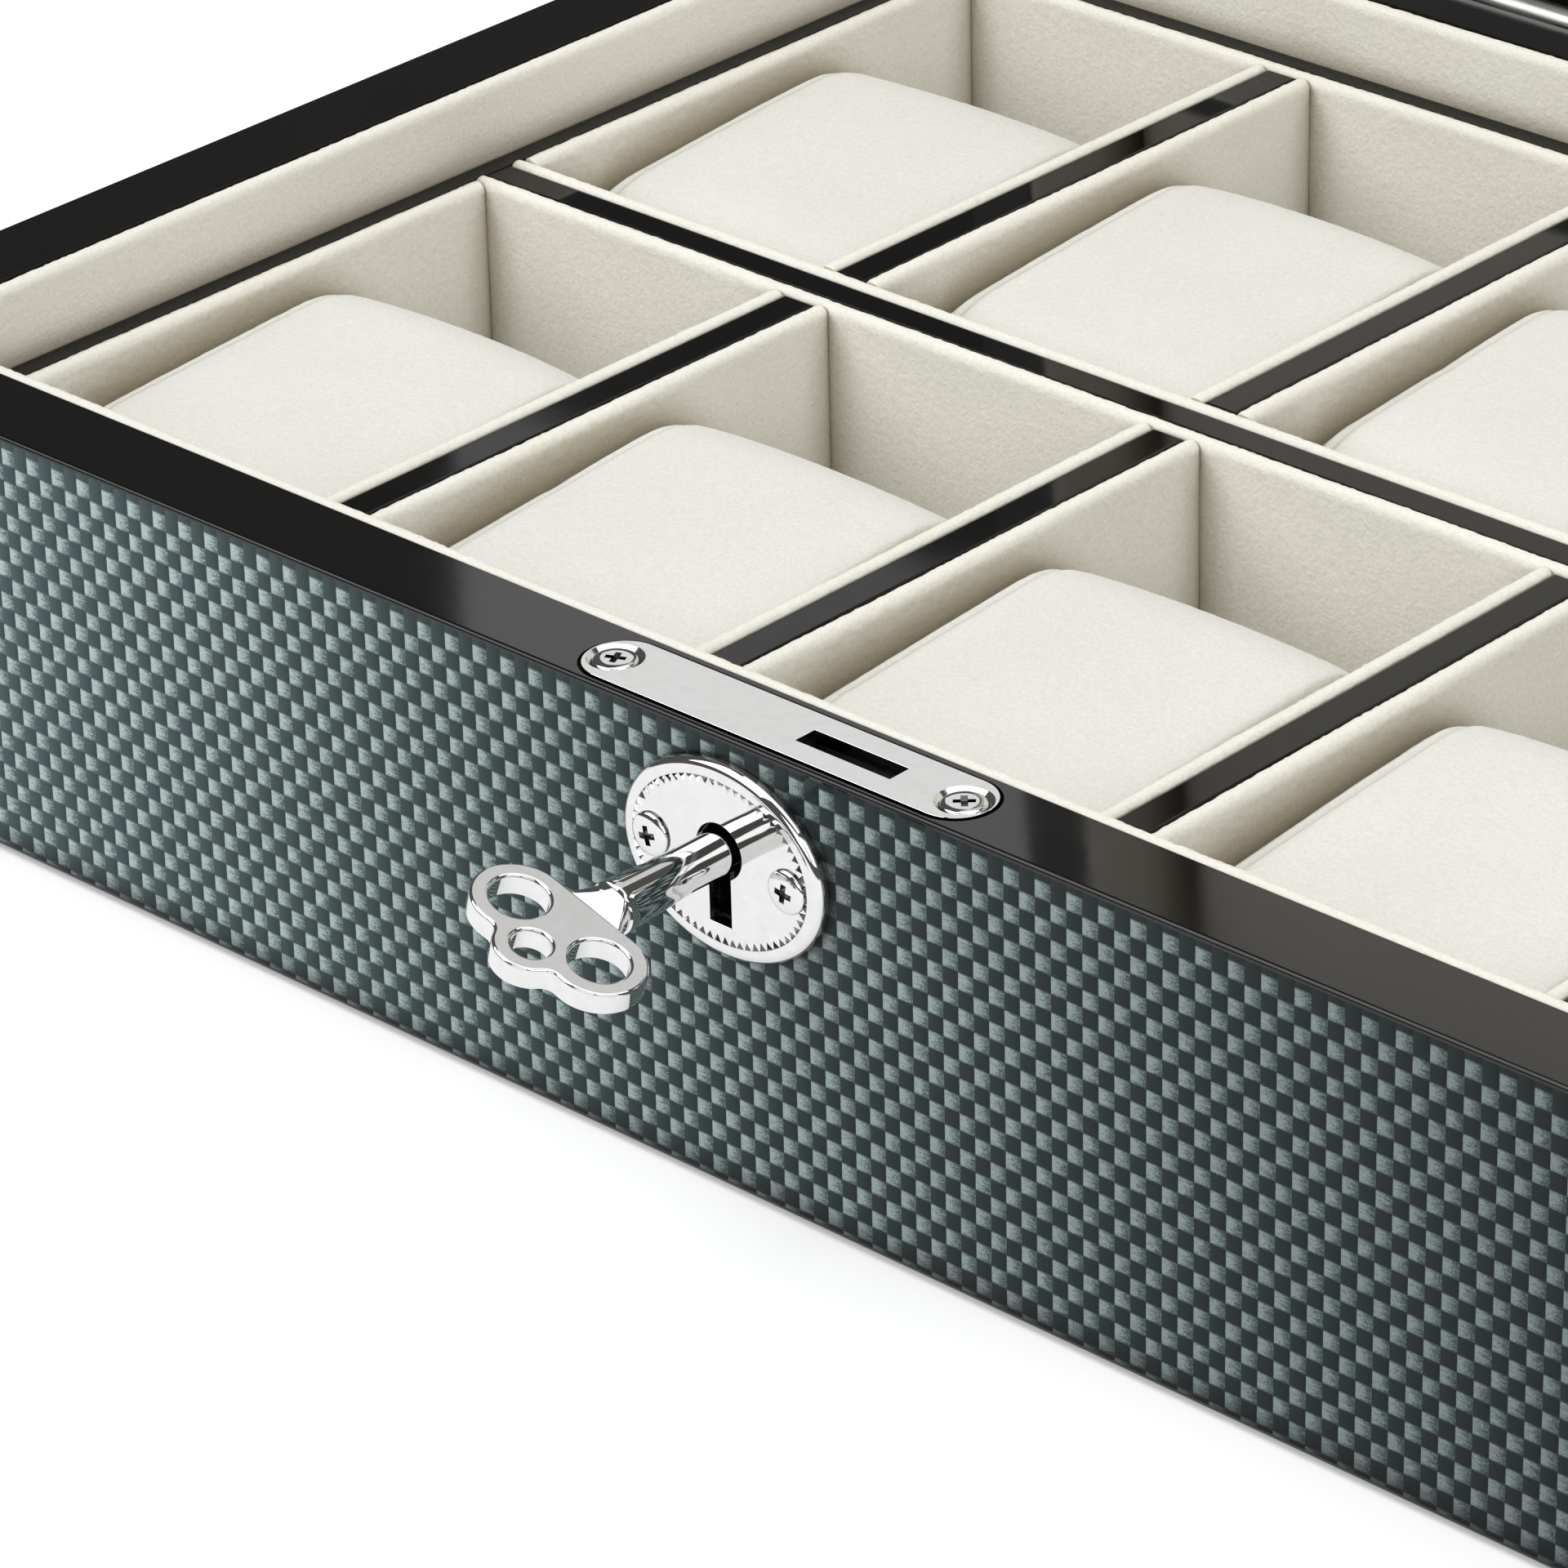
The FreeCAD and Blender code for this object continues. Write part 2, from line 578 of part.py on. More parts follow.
def key():
    """Barrel key, drawn with its bow level and then turned about its axis."""
    body = new_piece("key")
    inner_end = f"{PLATE_Y} + case_width / 2 - 2 * case_sheet"
    taper = f"{OVAL_FACE} - taper_from"
    neck = f"{OVAL_FACE} - bow_at + bow_ring + neck_gap"
    rod(body, "barrel_radius", f"({inner_end}) - ({taper})", ("0", inner_end, "0"), FORWARD)
    widening = ("barrel_radius", "neck_radius", f"({taper}) - ({neck})")
    cone(body, *widening, ("0", taper, "0"), FORWARD)
    cone(body, "neck_radius", "bow_thick / 2", "neck_run", ("0", neck, "0"), FORWARD)
    low_z = "-bow_thick / 2"
    bow_y = f"{OVAL_FACE} - bow_at"
    tip_y = f"{OVAL_FACE} - bow_tip_at"
    rings = [("bow_ring", f"{sign} * bow_ring_at", bow_y) for sign in (-1, 1)]
    rings.append(("bow_tip", "0", tip_y))
    web = ("2 * bow_ring_at", "bow_ring + bow_tip_at - bow_at", "bow_thick")
    block(body, web, ("-bow_ring_at", f"{OVAL_FACE} - bow_tip_at", low_z))
    for radius, at_x, at_y in rings:
        rod(body, radius, "bow_thick", (at_x, at_y, low_z))
    bit_low = ("0", f"{PLATE_Y} - bit_width / 2", "-bit_thick / 2")
    block(body, ("bit_reach", "bit_width", "bit_thick"), bit_low)
    for hole, at_x, at_y in (
        ("bow_hole", "-bow_ring_at", bow_y),
        ("bow_hole", "bow_ring_at", bow_y),
        ("bow_tip_hole", "0", tip_y),
    ):
        start = (at_x, at_y, f"{low_z} - over")
        rod(body, hole, "bow_thick + 2 * over", start, cut=True)
    bore_start = ("0", f"{inner_end} + over", "0")
    rod(body, "barrel_bore", "case_width + 2 * case_sheet", bore_start, FORWARD, cut=True)
    turn = FreeCAD.Rotation(FreeCAD.Vector(0, 1, 0), size("key_tilt"))
    put(body, ("key_at", "0", KEY_Z), turn)


# ---------------------------------------------------------------- hinge
def hinge():
    count = int(size("knuckles"))
    step = "(hinge_length / knuckles)"
    run = f"({step} - knuckle_gap)"
    base_leaf = new_piece("hinge_base_leaf")
    lid_leaf = new_piece("hinge_lid_leaf")
    neck = "knuckle + play"
    for body, sign, first, bore in ((base_leaf, -1, 0, "pin"), (lid_leaf, 1, 1, "pin + pin_play")):
        low = f"rim_height + {neck}" if sign > 0 else "rim_height - leaf_depth"
        plate = ("hinge_length", "leaf", f"leaf_depth - ({neck})")
        block(body, plate, ("-hinge_length / 2", f"{AXIS_Y} - knuckle", low))
        for index in range(first, count, 2):
            at_x = f"{index} * {step} + knuckle_gap / 2 - hinge_length / 2"
            neck_low = "rim_height" if sign > 0 else f"rim_height - ({neck})"
            block(body, (run, "leaf", neck), (at_x, f"{AXIS_Y} - knuckle", neck_low))
            rod(body, "knuckle", run, (at_x, AXIS_Y, "rim_height"), ALONG_X)
        start = ("-hinge_length / 2 - over", AXIS_Y, "rim_height")
        rod(body, bore, "hinge_length + 2 * over", start, ALONG_X, cut=True)
    pin_start = ("-hinge_length / 2", AXIS_Y, "rim_height")
    rod(new_piece("hinge_pin"), "pin", "hinge_length", pin_start, ALONG_X)
    return lid_leaf


# ---------------------------------------------------------------- lid
def lid():
    """The lid's pieces, drawn shut."""
    made = []
    for side in ("front", "back", "left", "right"):
        body = wall(f"lid_wall_{side}", side, LID_LOW, LID_TOP, False)
        top = ("box_width - 2 * lid_border", "box_depth - 2 * lid_border", "skin + over")
        centred(body, top, "0", "0", f"{LID_TOP} - skin", cut=True)
        if side == "back":
            hinge_rebate(body, -1)
        if side == "front":
            obround(body, f"{LID_LOW} - over", "plate_thick + over", cut=True)
            for sign in (-1, 1):
                at = (f"{sign} * plate_screw_at", PLATE_Y, LID_LOW)
                rod(body, "screw_shank", "screw_length", at, UPRIGHT, cut=True)
        made.append(body)

    panel = new_piece("lid_panel")
    board = ("box_width - 2 * wall", "box_depth - 2 * wall", "lid_panel - skin")
    centred(panel, board, "0", "0", f"{LID_TOP} - lid_panel")
    top_skin = new_piece("lid_top_skin")
    sheet_size = ("box_width - 2 * lid_border", "box_depth - 2 * lid_border", "skin")
    centred(top_skin, sheet_size, "0", "0", f"{LID_TOP} - skin")
    skins = new_piece("lid_skins")
    for side in ("front", "back", "left", "right"):
        film(skins, side, LID_LOW, LID_TOP)
    doc.recompute()

    cards = new_piece("lid_lining_cards")
    card_height = "lid_height - lid_panel"
    inner_y = "box_depth - 2 * wall - 2 * lining"
    for sign in (-1, 1):
        run = ("box_width - 2 * wall", "lining", card_height)
        centred(cards, run, "0", f"{sign} * (box_depth / 2 - wall - lining / 2)", LID_LOW)
        side_x = f"{sign} * (box_width / 2 - wall - lining / 2)"
        side_run = ("lining", f"{inner_y} - 2 * card_joint", card_height)
        centred(cards, side_run, side_x, "0", LID_LOW)
    pad = new_piece("lid_pad")
    pad_size = (f"2 * {TRAY_X}", f"2 * {TRAY_Y}", "lid_pad")
    centred(pad, pad_size, "0", "0", f"{LID_TOP} - lid_panel - lid_pad")

    strike = new_piece("strike_plate")
    obround(strike, LID_LOW, "plate_thick")
    hook = ("hook_length", "hook_thick", "hook_drop + lid_gap")
    centred(strike, hook, "plate_slot_at", PLATE_Y, f"{LID_LOW} - hook_drop - lid_gap")
    notch_low = (
        "plate_slot_at - hook_length / 2 - over",
        f"{PLATE_Y} - hook_thick",
        f"{KEY_Z} + bit_reach",
    )
    notch = ("over + hook_length / 2", "2 * hook_thick", "bolt_height + 2 * play")
    block(strike, notch, notch_low, cut=True)
    strike_screws = new_piece("strike_screws")
    for sign in (-1, 1):
        at = (f"{sign} * plate_screw_at", PLATE_Y, LID_LOW)
        sink(strike, at, UPRIGHT)
        screw(strike_screws, at, UPRIGHT)
    return made + [panel, top_skin, skins, cards, pad, strike, strike_screws]


def open_lid(bodies):
    """Turn the lid's pieces about the hinge axis to the open stop."""
    doc.recompute()
    pivot = FreeCAD.Vector(0, size("box_depth") / 2 - size("hinge_inset"), size("rim_height"))
    swing = FreeCAD.Rotation(FreeCAD.Vector(1, 0, 0), -size("open_angle"))
    for body in bodies:
        body.Placement = FreeCAD.Placement(FreeCAD.Vector(), swing, pivot)


# ---------------------------------------------------------------- build, check, write
base_carcass()
lining()
tray()
cushions()
lock()
escutcheon()
key()
lid_leaf = hinge()
open_lid(lid() + [lid_leaf])
doc.recompute()

for item in doc.Objects:
    for state in item.State:
        if state in ("Invalid", "Error"):
            raise RuntimeError(f"{item.Label} is {state}")
for piece in pieces:
    if piece.Shape.isNull() or not piece.Shape.isValid():
        raise RuntimeError(f"{piece.Label} has no valid shape")

os.makedirs("parts", exist_ok=True)
for piece in pieces:
    piece.Shape.exportStep(os.path.join("parts", f"{piece.Label}.step"))
    print(piece.Label, len(piece.Shape.Solids), round(piece.Shape.Volume, 1))
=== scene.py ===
import json
import math

import bmesh
import bpy
import numpy as np
from mathutils import Matrix, Vector, noise
from mathutils.bvhtree import BVHTree


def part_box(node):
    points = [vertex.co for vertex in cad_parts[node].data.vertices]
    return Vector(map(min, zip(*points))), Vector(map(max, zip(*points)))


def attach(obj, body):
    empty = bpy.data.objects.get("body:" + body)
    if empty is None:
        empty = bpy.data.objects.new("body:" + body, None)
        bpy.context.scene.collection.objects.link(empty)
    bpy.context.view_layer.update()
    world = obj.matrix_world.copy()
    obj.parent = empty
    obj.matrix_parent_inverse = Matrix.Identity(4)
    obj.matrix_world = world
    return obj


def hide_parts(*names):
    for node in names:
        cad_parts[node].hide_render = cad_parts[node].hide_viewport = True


# Looks of the open watch box: lacquered boards, woven film, velvet cards, stuffed cushions,
# chrome lock and key. Metres, in the CAD frame; MM turns millimetres into metres.

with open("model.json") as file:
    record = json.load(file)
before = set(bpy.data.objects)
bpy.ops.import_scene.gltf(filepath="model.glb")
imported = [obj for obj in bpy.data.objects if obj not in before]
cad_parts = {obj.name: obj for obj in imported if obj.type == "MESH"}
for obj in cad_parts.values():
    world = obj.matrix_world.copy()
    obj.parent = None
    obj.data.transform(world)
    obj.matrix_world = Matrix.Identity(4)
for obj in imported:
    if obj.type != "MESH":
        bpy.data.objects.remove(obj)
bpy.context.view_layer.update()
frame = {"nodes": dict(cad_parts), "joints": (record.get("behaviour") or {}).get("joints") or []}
MM = 0.001
scene = bpy.context.scene


# ================================================================ places from the frame
def joint(name):
    return next(item for item in frame["joints"] if item["name"] == name)


HINGE = Vector(joint("lid_hinge")["pos_m"])
LID_OPEN = math.radians(-min(joint("lid_hinge")["range_deg"]))
KEY = Vector(joint("key_turn")["pos_m"])
KEY_TILT = math.radians(90 + min(joint("key_turn")["range_deg"]))
HALF_TURN = Matrix.Rotation(math.pi, 4, "X")
# from a lid that lies on its back to the open lid
IN_LID = (
    Matrix.Translation(HINGE)
    @ Matrix.Rotation(-LID_OPEN, 4, "X")
    @ Matrix.Translation(-HINGE)
    @ HALF_TURN
)
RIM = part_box("base_wall_front")[1].z
SIDES = ("front", "back", "left", "right")


# ================================================================ meshes
def new_object(name, mesh):
    made = bpy.data.objects.new(name, mesh)
    scene.collection.objects.link(made)
    return made


def object_from(name, verts, faces):
    mesh = bpy.data.meshes.new(name)
    mesh.from_pydata([tuple(v) for v in verts], [], faces)
    mesh.update()
    return new_object(name, mesh)


def object_from_bmesh(name, bm):
    bmesh.ops.recalc_face_normals(bm, faces=bm.faces)
    mesh = bpy.data.meshes.new(name)
    bm.to_mesh(mesh)
    bm.free()
    return new_object(name, mesh)


def smooth(made, angle=None):
    """Smooth shading, kept sharp where two faces meet at more than the angle."""
    made.data.shade_smooth()
    if angle is not None:
        made.data.set_sharp_from_angle(angle=math.radians(angle))


def bake(made):
    """Apply the object's modifiers."""
    bpy.context.view_layer.update()
    graph = bpy.context.evaluated_depsgraph_get()
    mesh = bpy.data.meshes.new_from_object(made.evaluated_get(graph))
    made.modifiers.clear()
    made.data = mesh


def finish_piece(made, body, material, slot, *nodes, painted_shade_material=None):
    """Material, body and replaced nodes, and the material of faces numbered 1 after them; slot is
    not used.
    """
    numbers = [face.material_index for face in made.data.polygons]
    made.data.materials.clear()
    made.data.materials.append(material)
    # faces numbered 1 get the painted-shade material
    if painted_shade_material:
        made.data.materials.append(painted_shade_material)
        made.data.polygons.foreach_set("material_index", numbers)
    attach(made, body)
    if nodes:
        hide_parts(*nodes)


def solids(node, undo=None):
    """Corners of the boxes round a CAD node's solids, left to right, after a move is undone."""
    bm = bmesh.new()
    bm.from_mesh(frame["nodes"][node].data)
    if undo:
        bm.transform(undo.inverted())
    bmesh.ops.remove_doubles(bm, verts=bm.verts, dist=1e-6)
    found, seen = [], set()
    for first in bm.verts:
        if first in seen:
            continue
        island, waiting = [], [first]
        seen.add(first)
        while waiting:
            vert = waiting.pop()
            island.append(vert.co.copy())
            for edge in vert.link_edges:
                other = edge.other_vert(vert)
                if other not in seen:
                    seen.add(other)
                    waiting.append(other)
        co = np.array(island)
        found.append((Vector(co.min(0)), Vector(co.max(0))))
    bm.free()
    return sorted(found, key=lambda box: (round(box[0].x, 5), round(box[0].y, 5)))


def ripple(point, per_metre, seed=0.0):
    """Smooth noise from -1 to 1 at a point; per_metre sets how fine it is."""
    return noise.noise(Vector(point) * per_metre + Vector((seed, 2 * seed, -seed)))


def clamped(value, limit):
    return max(-limit, min(limit, value))


def shell(name, rings):
    """A closed solid through rings that all have the same number of points."""
    count = len(rings[0])
    faces = []
    for row in range(len(rings) - 1):
        here, above = row * count, (row + 1) * count
        for i in range(count):
            j = (i + 1) % count
            faces.append((here + i, here + j, above + j, above + i))
    last = (len(rings) - 1) * count
    faces += [tuple(reversed(range(count))), tuple(range(last, last + count))]
    return object_from(name, [point for ring in rings for point in ring], faces)


# ================================================================ shader nodes
class Shader:
    """Builds one procedural material; each method adds a node and returns its output."""

    def __init__(self, name):
        self.material = bpy.data.materials.new(name)
        self.material.use_nodes = True
        self.tree = self.material.node_tree
        self.surface = self.tree.nodes["Principled BSDF"]

    def node(self, kind, **settings):
        made = self.tree.nodes.new(kind)
        for key, value in settings.items():
            setattr(made, key, value)
        return made

    def feed(self, socket, value):
        if isinstance(value, bpy.types.NodeSocket):
            self.tree.links.new(value, socket)
        else:
            socket.default_value = value

    def set(self, **values):
        """Values for the surface's sockets, with _ for each space in a socket's name."""
        for key, value in values.items():
            self.feed(self.surface.inputs[key.replace("_", " ")], value)
        return self

    def place(self):
        return self.node("ShaderNodeTexCoord").outputs["Object"]

    def math(self, operation, *values):
        made = self.node("ShaderNodeMath", operation=operation)
        for socket, value in zip(made.inputs, values):
            self.feed(socket, value)
        return made.outputs[0]

    def noise(self, per_metre, detail=2.0, vector=None, stretch=None):
        place = vector or self.place()
        if stretch:
            scaled = self.node("ShaderNodeVectorMath", operation="MULTIPLY")
            self.feed(scaled.inputs[0], place)
            scaled.inputs[1].default_value = stretch
            place = scaled.outputs[0]
        made = self.node("ShaderNodeTexNoise")
        self.feed(made.inputs["Vector"], place)
        made.inputs["Scale"].default_value = per_metre
        made.inputs["Detail"].default_value = detail
        return made.outputs["Fac"]

    def ramp(self, value, *stops):
        """Colour ramp; each stop is (position, (r, g, b))."""
        made = self.node("ShaderNodeValToRGB")
        self.feed(made.inputs[0], value)
        elements = made.color_ramp.elements
        while len(elements) < len(stops):
            elements.new(0.5)
        for element, (position, colour) in zip(elements, stops):
            element.position = position
            element.color = (*colour, 1)
        return made.outputs[0]

    def mix(self, share, first, second, blend="MIX"):
        made = self.node("ShaderNodeMix", data_type="RGBA", blend_type=blend)
        self.feed(made.inputs[0], share)
        for socket, value in ((made.inputs[6], first), (made.inputs[7], second)):
            self.feed(socket, value if isinstance(value, bpy.types.NodeSocket) else (*value, 1))
        return made.outputs[2]

    def openness(self, distance, lean=None):
        """1 on open ground, less in a corner or a gap; lean is the side it looks to more."""
        made = self.node("ShaderNodeAmbientOcclusion", samples=10)
        made.inputs["Distance"].default_value = distance
        if lean:
            tilted = self.node("ShaderNodeVectorMath", operation="ADD")
            self.feed(tilted.inputs[0], self.node("ShaderNodeNewGeometry").outputs["Normal"])
            tilted.inputs[1].default_value = lean
            level = self.node("ShaderNodeVectorMath", operation="NORMALIZE")
            self.feed(level.inputs[0], tilted.outputs[0])
            self.feed(made.inputs["Normal"], level.outputs[0])
        return made.outputs["AO"]

    def step(self, value, low, high, to_low=0.0, to_high=1.0):
        """Smooth change of the value from low to high, clamped at both ends."""
        made = self.node("ShaderNodeMapRange", interpolation_type="SMOOTHSTEP")
        for socket, number in zip(made.inputs, (value, low, high, to_low, to_high)):
            self.feed(socket, number)
        return made.outputs[0]

    def bump(self, height, distance, strength=1.0, under=None):
        made = self.node("ShaderNodeBump")
        self.feed(made.inputs["Height"], height)
        made.inputs["Distance"].default_value = distance
        made.inputs["Strength"].default_value = strength
        if under is not None:
            self.feed(made.inputs["Normal"], under)
        return made.outputs["Normal"]


# ================================================================ materials
def lacquer(name, ior):
    """Polished black lacquer: deep gloss with a faint orange peel and dust-fine haze."""
    s = Shader(name)
    peel = s.bump(s.noise(330, 2), 0.00002, 0.06)
    fine = s.bump(s.noise(3200, 2), 0.000001, 0.3, peel)
    tint = s.ramp(s.noise(35, 2), (0.35, (0.0030, 0.0029, 0.0029)), (0.7, (0.0048, 0.0044, 0.0042)))
    haze = s.step(s.noise(60, 3), 0.35, 0.7, 0.045, 0.065)
    s.set(Base_Color=tint, Roughness=haze, Normal=fine, IOR=ior)
    return s.material


def woven_film(name, across, up, lid_angle=0.0, rim_row=False, shadow=None):
    """Chequered woven film under a clear coat: square cells whose threads run light to dark.

    Across "round" follows the sheet along the front and back as well as the two sides. The
    lid's sheets are drawn shut, then turned by the lid's angle. Shadow leans the corner shade.
    """
    s = Shader(name)
    place = s.place()
    if lid_angle:
        spin = s.node("ShaderNodeVectorRotate", rotation_type="X_AXIS")
        s.feed(spin.inputs["Vector"], place)
        spin.inputs["Center"].default_value = HINGE
        spin.inputs["Angle"].default_value = lid_angle
        place = spin.outputs[0]
    parts = s.node("ShaderNodeSeparateXYZ")
    s.feed(parts.inputs[0], place)
    if across == "round":
        facing = s.node("ShaderNodeSeparateXYZ")
        s.feed(facing.inputs[0], s.node("ShaderNodeTexCoord").outputs["Normal"])
        sideways = s.math("GREATER_THAN", s.math("ABSOLUTE", facing.outputs["X"]), 0.5)
        depth = s.math("SUBTRACT", parts.outputs["Y"], parts.outputs["X"])
        along = s.math("MULTIPLY_ADD", depth, sideways, parts.outputs["X"])
    else:
        along = parts.outputs[across]
    u = s.math("DIVIDE", s.math("SUBTRACT", along, WEAVE_START), CELL)
    v = s.math("DIVIDE", s.math("SUBTRACT", parts.outputs[up], WEAVE_TOP), CELL)
    parity = s.math("FLOORED_MODULO", s.math("ADD", s.math("FLOOR", u), s.math("FLOOR", v)), 2.0)
    fu = s.math("FRACT", u)
    fv = s.math("FRACT", v)
    fibres = s.noise(900, 3, place, stretch=(1.2, 1.2, 5.0))
    grain = s.noise(5200, 2, place)
    patches = s.noise(18, 2, place)
    # light cells fade from their left edge to their right edge
    fade = s.step(fu, 0.0, 1.15, 1.0, 0.36)
    wobble = s.math("MULTIPLY_ADD", s.math("SUBTRACT", fibres, 0.5), 0.9, fade)
    wobble = s.math("MULTIPLY_ADD", s.math("SUBTRACT", grain, 0.5), 1.1, wobble)
    rounded = s.math("MULTIPLY", s.step(fv, 0.0, 0.14, 0.55, 1.0), s.step(fv, 0.86, 1.0, 1.0, 0.6))
    light = s.math("MULTIPLY", wobble, rounded)
    light = s.math("MULTIPLY_ADD", s.math("SUBTRACT", patches, 0.5), 0.25, light)
    bright = s.ramp(
        light,
        (0.0, (0.015, 0.024, 0.025)),
        (0.45, (0.068, 0.097, 0.098)),
        (1.0, (0.285, 0.35, 0.345)),
    )
    dull_fade = s.math("MULTIPLY", s.step(fu, 0.0, 1.0, 0.75, 0.2), 0.6)
    shade = s.math("MULTIPLY_ADD", grain, 0.4, dull_fade)
    dull = s.ramp(shade, (0.2, (0.007, 0.012, 0.013)), (0.8, (0.018, 0.028, 0.029)))
    if rim_row:
        # the row next to the rim is plain
        parity = s.math("MAXIMUM", parity, s.math("GREATER_THAN", v, 0.0))
    # painted reflection: towards the left the dull cells are lifted, as by the clear coat's
    # reflection, and the light cells are dimmed
    # light and dull cells differ less towards the left, as they do in the photo
    even = s.step(along, -0.16, 0.06, 1.0, 0.0)
    bright = s.mix(1.0, bright, s.math("MULTIPLY_ADD", even, -0.16, 1.0), "MULTIPLY")
    dull = s.mix(1.0, dull, s.math("MULTIPLY_ADD", even, 1.2, 1.0), "MULTIPLY")
    cells = s.mix(parity, bright, dull)
    # painted light: the whole sheet is lighter towards the left and darker towards the right
    # the sheet is paler towards the left, as it is in the photo
    painted_light_left = s.step(along, -0.17, 0.13, 1.85, 0.6)
    colour = s.mix(1.0, cells, painted_light_left, "MULTIPLY")
    if shadow:
        # the soft shadow to the right of the escutcheon
        beside = s.step(s.openness(0.006, shadow), 0.42, 0.8, 0.15, 1.0)
        colour = s.mix(1.0, colour, beside, "MULTIPLY")
    pillow_u = s.math("MULTIPLY", s.step(fu, 0.0, 0.3), s.step(fu, 0.7, 1.0, 1.0, 0.0))
    pillow_v = s.math("MULTIPLY", s.step(fv, 0.0, 0.3), s.step(fv, 0.7, 1.0, 1.0, 0.0))
    relief = s.mix(parity, pillow_v, pillow_u)
    under = s.bump(relief, 0.00008, 0.5)
    s.set(Base_Color=colour, Normal=under)
    s.set(Roughness=0.5, IOR=1.25, Specular_IOR_Level=0.25)
    s.set(Coat_Weight=0.2, Coat_Roughness=0.035, Coat_IOR=1.4)
    s.feed(s.surface.inputs["Coat Normal"], s.bump(s.noise(330, 2, place), 0.00002, 0.2))
    return s.material


def velvet(name, light, shaded, corner):
    """Short cream pile: soft sheen, fine mottling, a nap in slow patches, and painted warm shade in
    corners and gaps.
    """
    s = Shader(name)
    nap = s.noise(55, 3)
    pile = s.noise(2300, 4)
    tufts = s.noise(1050, 3)
    base = s.ramp(nap, (0.3, shaded), (0.7, light))
    shade = s.step(pile, 0.3, 0.7, 0.94, 1.02)
    colour = s.mix(1.0, base, shade, "MULTIPLY")
    # painted shade: where the velvet lies in a corner or a gap its colour is darkened and warmed by
    # the corner tint
    inside = s.mix(1.0, colour, corner, "MULTIPLY")
    colour = s.mix(s.step(s.openness(0.011), 0.42, 0.76), inside, colour)
    soft = s.bump(tufts, 0.0003, 0.4)
    fur = s.bump(pile, 0.00016, 0.55, soft)
    s.set(Base_Color=colour, Normal=fur, Roughness=0.95)
    s.set(Specular_IOR_Level=0.15, Sheen_Weight=0.35, Sheen_Roughness=0.45)
    s.surface.inputs["Sheen Tint"].default_value = (1.0, 0.97, 0.9, 1)
    return s.material


def felt():
    s = Shader("felt_black")
    tufts = s.noise(1500, 4)
    colour = s.ramp(tufts, (0.3, (0.006, 0.006, 0.006)), (0.75, (0.022, 0.021, 0.02)))
    s.set(Base_Color=colour, Normal=s.bump(tufts, 0.0003, 0.6), Roughness=0.95)
    s.set(Sheen_Weight=0.4, Sheen_Roughness=0.5, Specular_IOR_Level=0.2)
    return s.material


def board():
    """Painted fibreboard, dull black with a trace of its fibres."""
    s = Shader("board_black")
    fibres = s.noise(700, 4)
    colour = s.ramp(fibres, (0.3, (0.010, 0.009, 0.008)), (0.8, (0.030, 0.028, 0.026)))
    s.set(Base_Color=colour, Normal=s.bump(fibres, 0.0001, 0.4), Roughness=0.55)
    return s.material


def chrome(name, tone, blur):
    """Polished chrome with hairline wear and a little waviness from the polishing wheel."""
    s = Shader(name)
    wear = s.noise(800, 3)
    lines = s.noise(1500, 2, stretch=(0.2, 1.0, 3.0))
    rough = s.math("MULTIPLY_ADD", lines, 0.02, s.step(wear, 0.45, 0.8, 0.025 + blur, 0.06 + blur))
    clean = (tone, tone, tone * 0.995)
    worn = (tone * 0.93, tone * 0.93, tone * 0.92)
    colour = s.ramp(wear, (0.3, clean), (0.8, worn))
    waves = s.bump(s.noise(160, 2), 0.00001, 0.25)
    s.set(Base_Color=colour, Metallic=1.0, Roughness=rough, Normal=waves)
    return s.material


def steel():
    """Brushed steel: fine lines along the length."""
    s = Shader("steel_brushed")
    lines = s.noise(1800, 4, stretch=(0.06, 1.0, 1.0))
    colour = s.ramp(lines, (0.3, (0.42, 0.42, 0.41)), (0.75, (0.62, 0.62, 0.60)))
    rough = s.step(lines, 0.3, 0.7, 0.24, 0.42)
    s.set(Base_Color=colour, Metallic=1.0, Roughness=rough, Normal=s.bump(lines, 0.00002, 0.5))
    return s.material


# size of a cell of the film's pattern, and where its columns and its top row start
CELL = 2 * MM
WEAVE_START = -0.71 * MM
WEAVE_TOP = RIM - 1.3 * MM

LACQUER = lacquer("lacquer_black", 1.46)
LACQUER_TRAY = lacquer("lacquer_tray", 1.3)
# the last colour of each velvet tints its painted corner shade
VELVET = velvet("velvet_cards", (0.88, 0.862, 0.785), (0.86, 0.836, 0.755), (0.5, 0.455, 0.37))
CUSHION_VELVET = velvet(
    "velvet_cushions", (0.775, 0.772, 0.735), (0.752, 0.745, 0.705), (0.8, 0.77, 0.7)
)
# painted shade: dark blurred chrome for the screws' recesses and walls and for two facets of each
# punched point
CHROME_PAINTED_SHADE = chrome("chrome_painted_shade", 0.1, 0.12)
CHROME = chrome("chrome_polished", 0.72, 0.0)
STEEL = steel()
BOARD = board()
FELT = felt()
FILM_FRONT = woven_film("film_front", "X", "Z", rim_row=True, shadow=(-0.9, 0.0, -0.3))
FILM_SIDE = woven_film("film_side", "Y", "Z", rim_row=True)
FILM_LID_SIDES = woven_film("film_lid_sides", "round", "Z", LID_OPEN)
FILM_LID_TOP = woven_film("film_lid_top", "X", "Y", LID_OPEN)


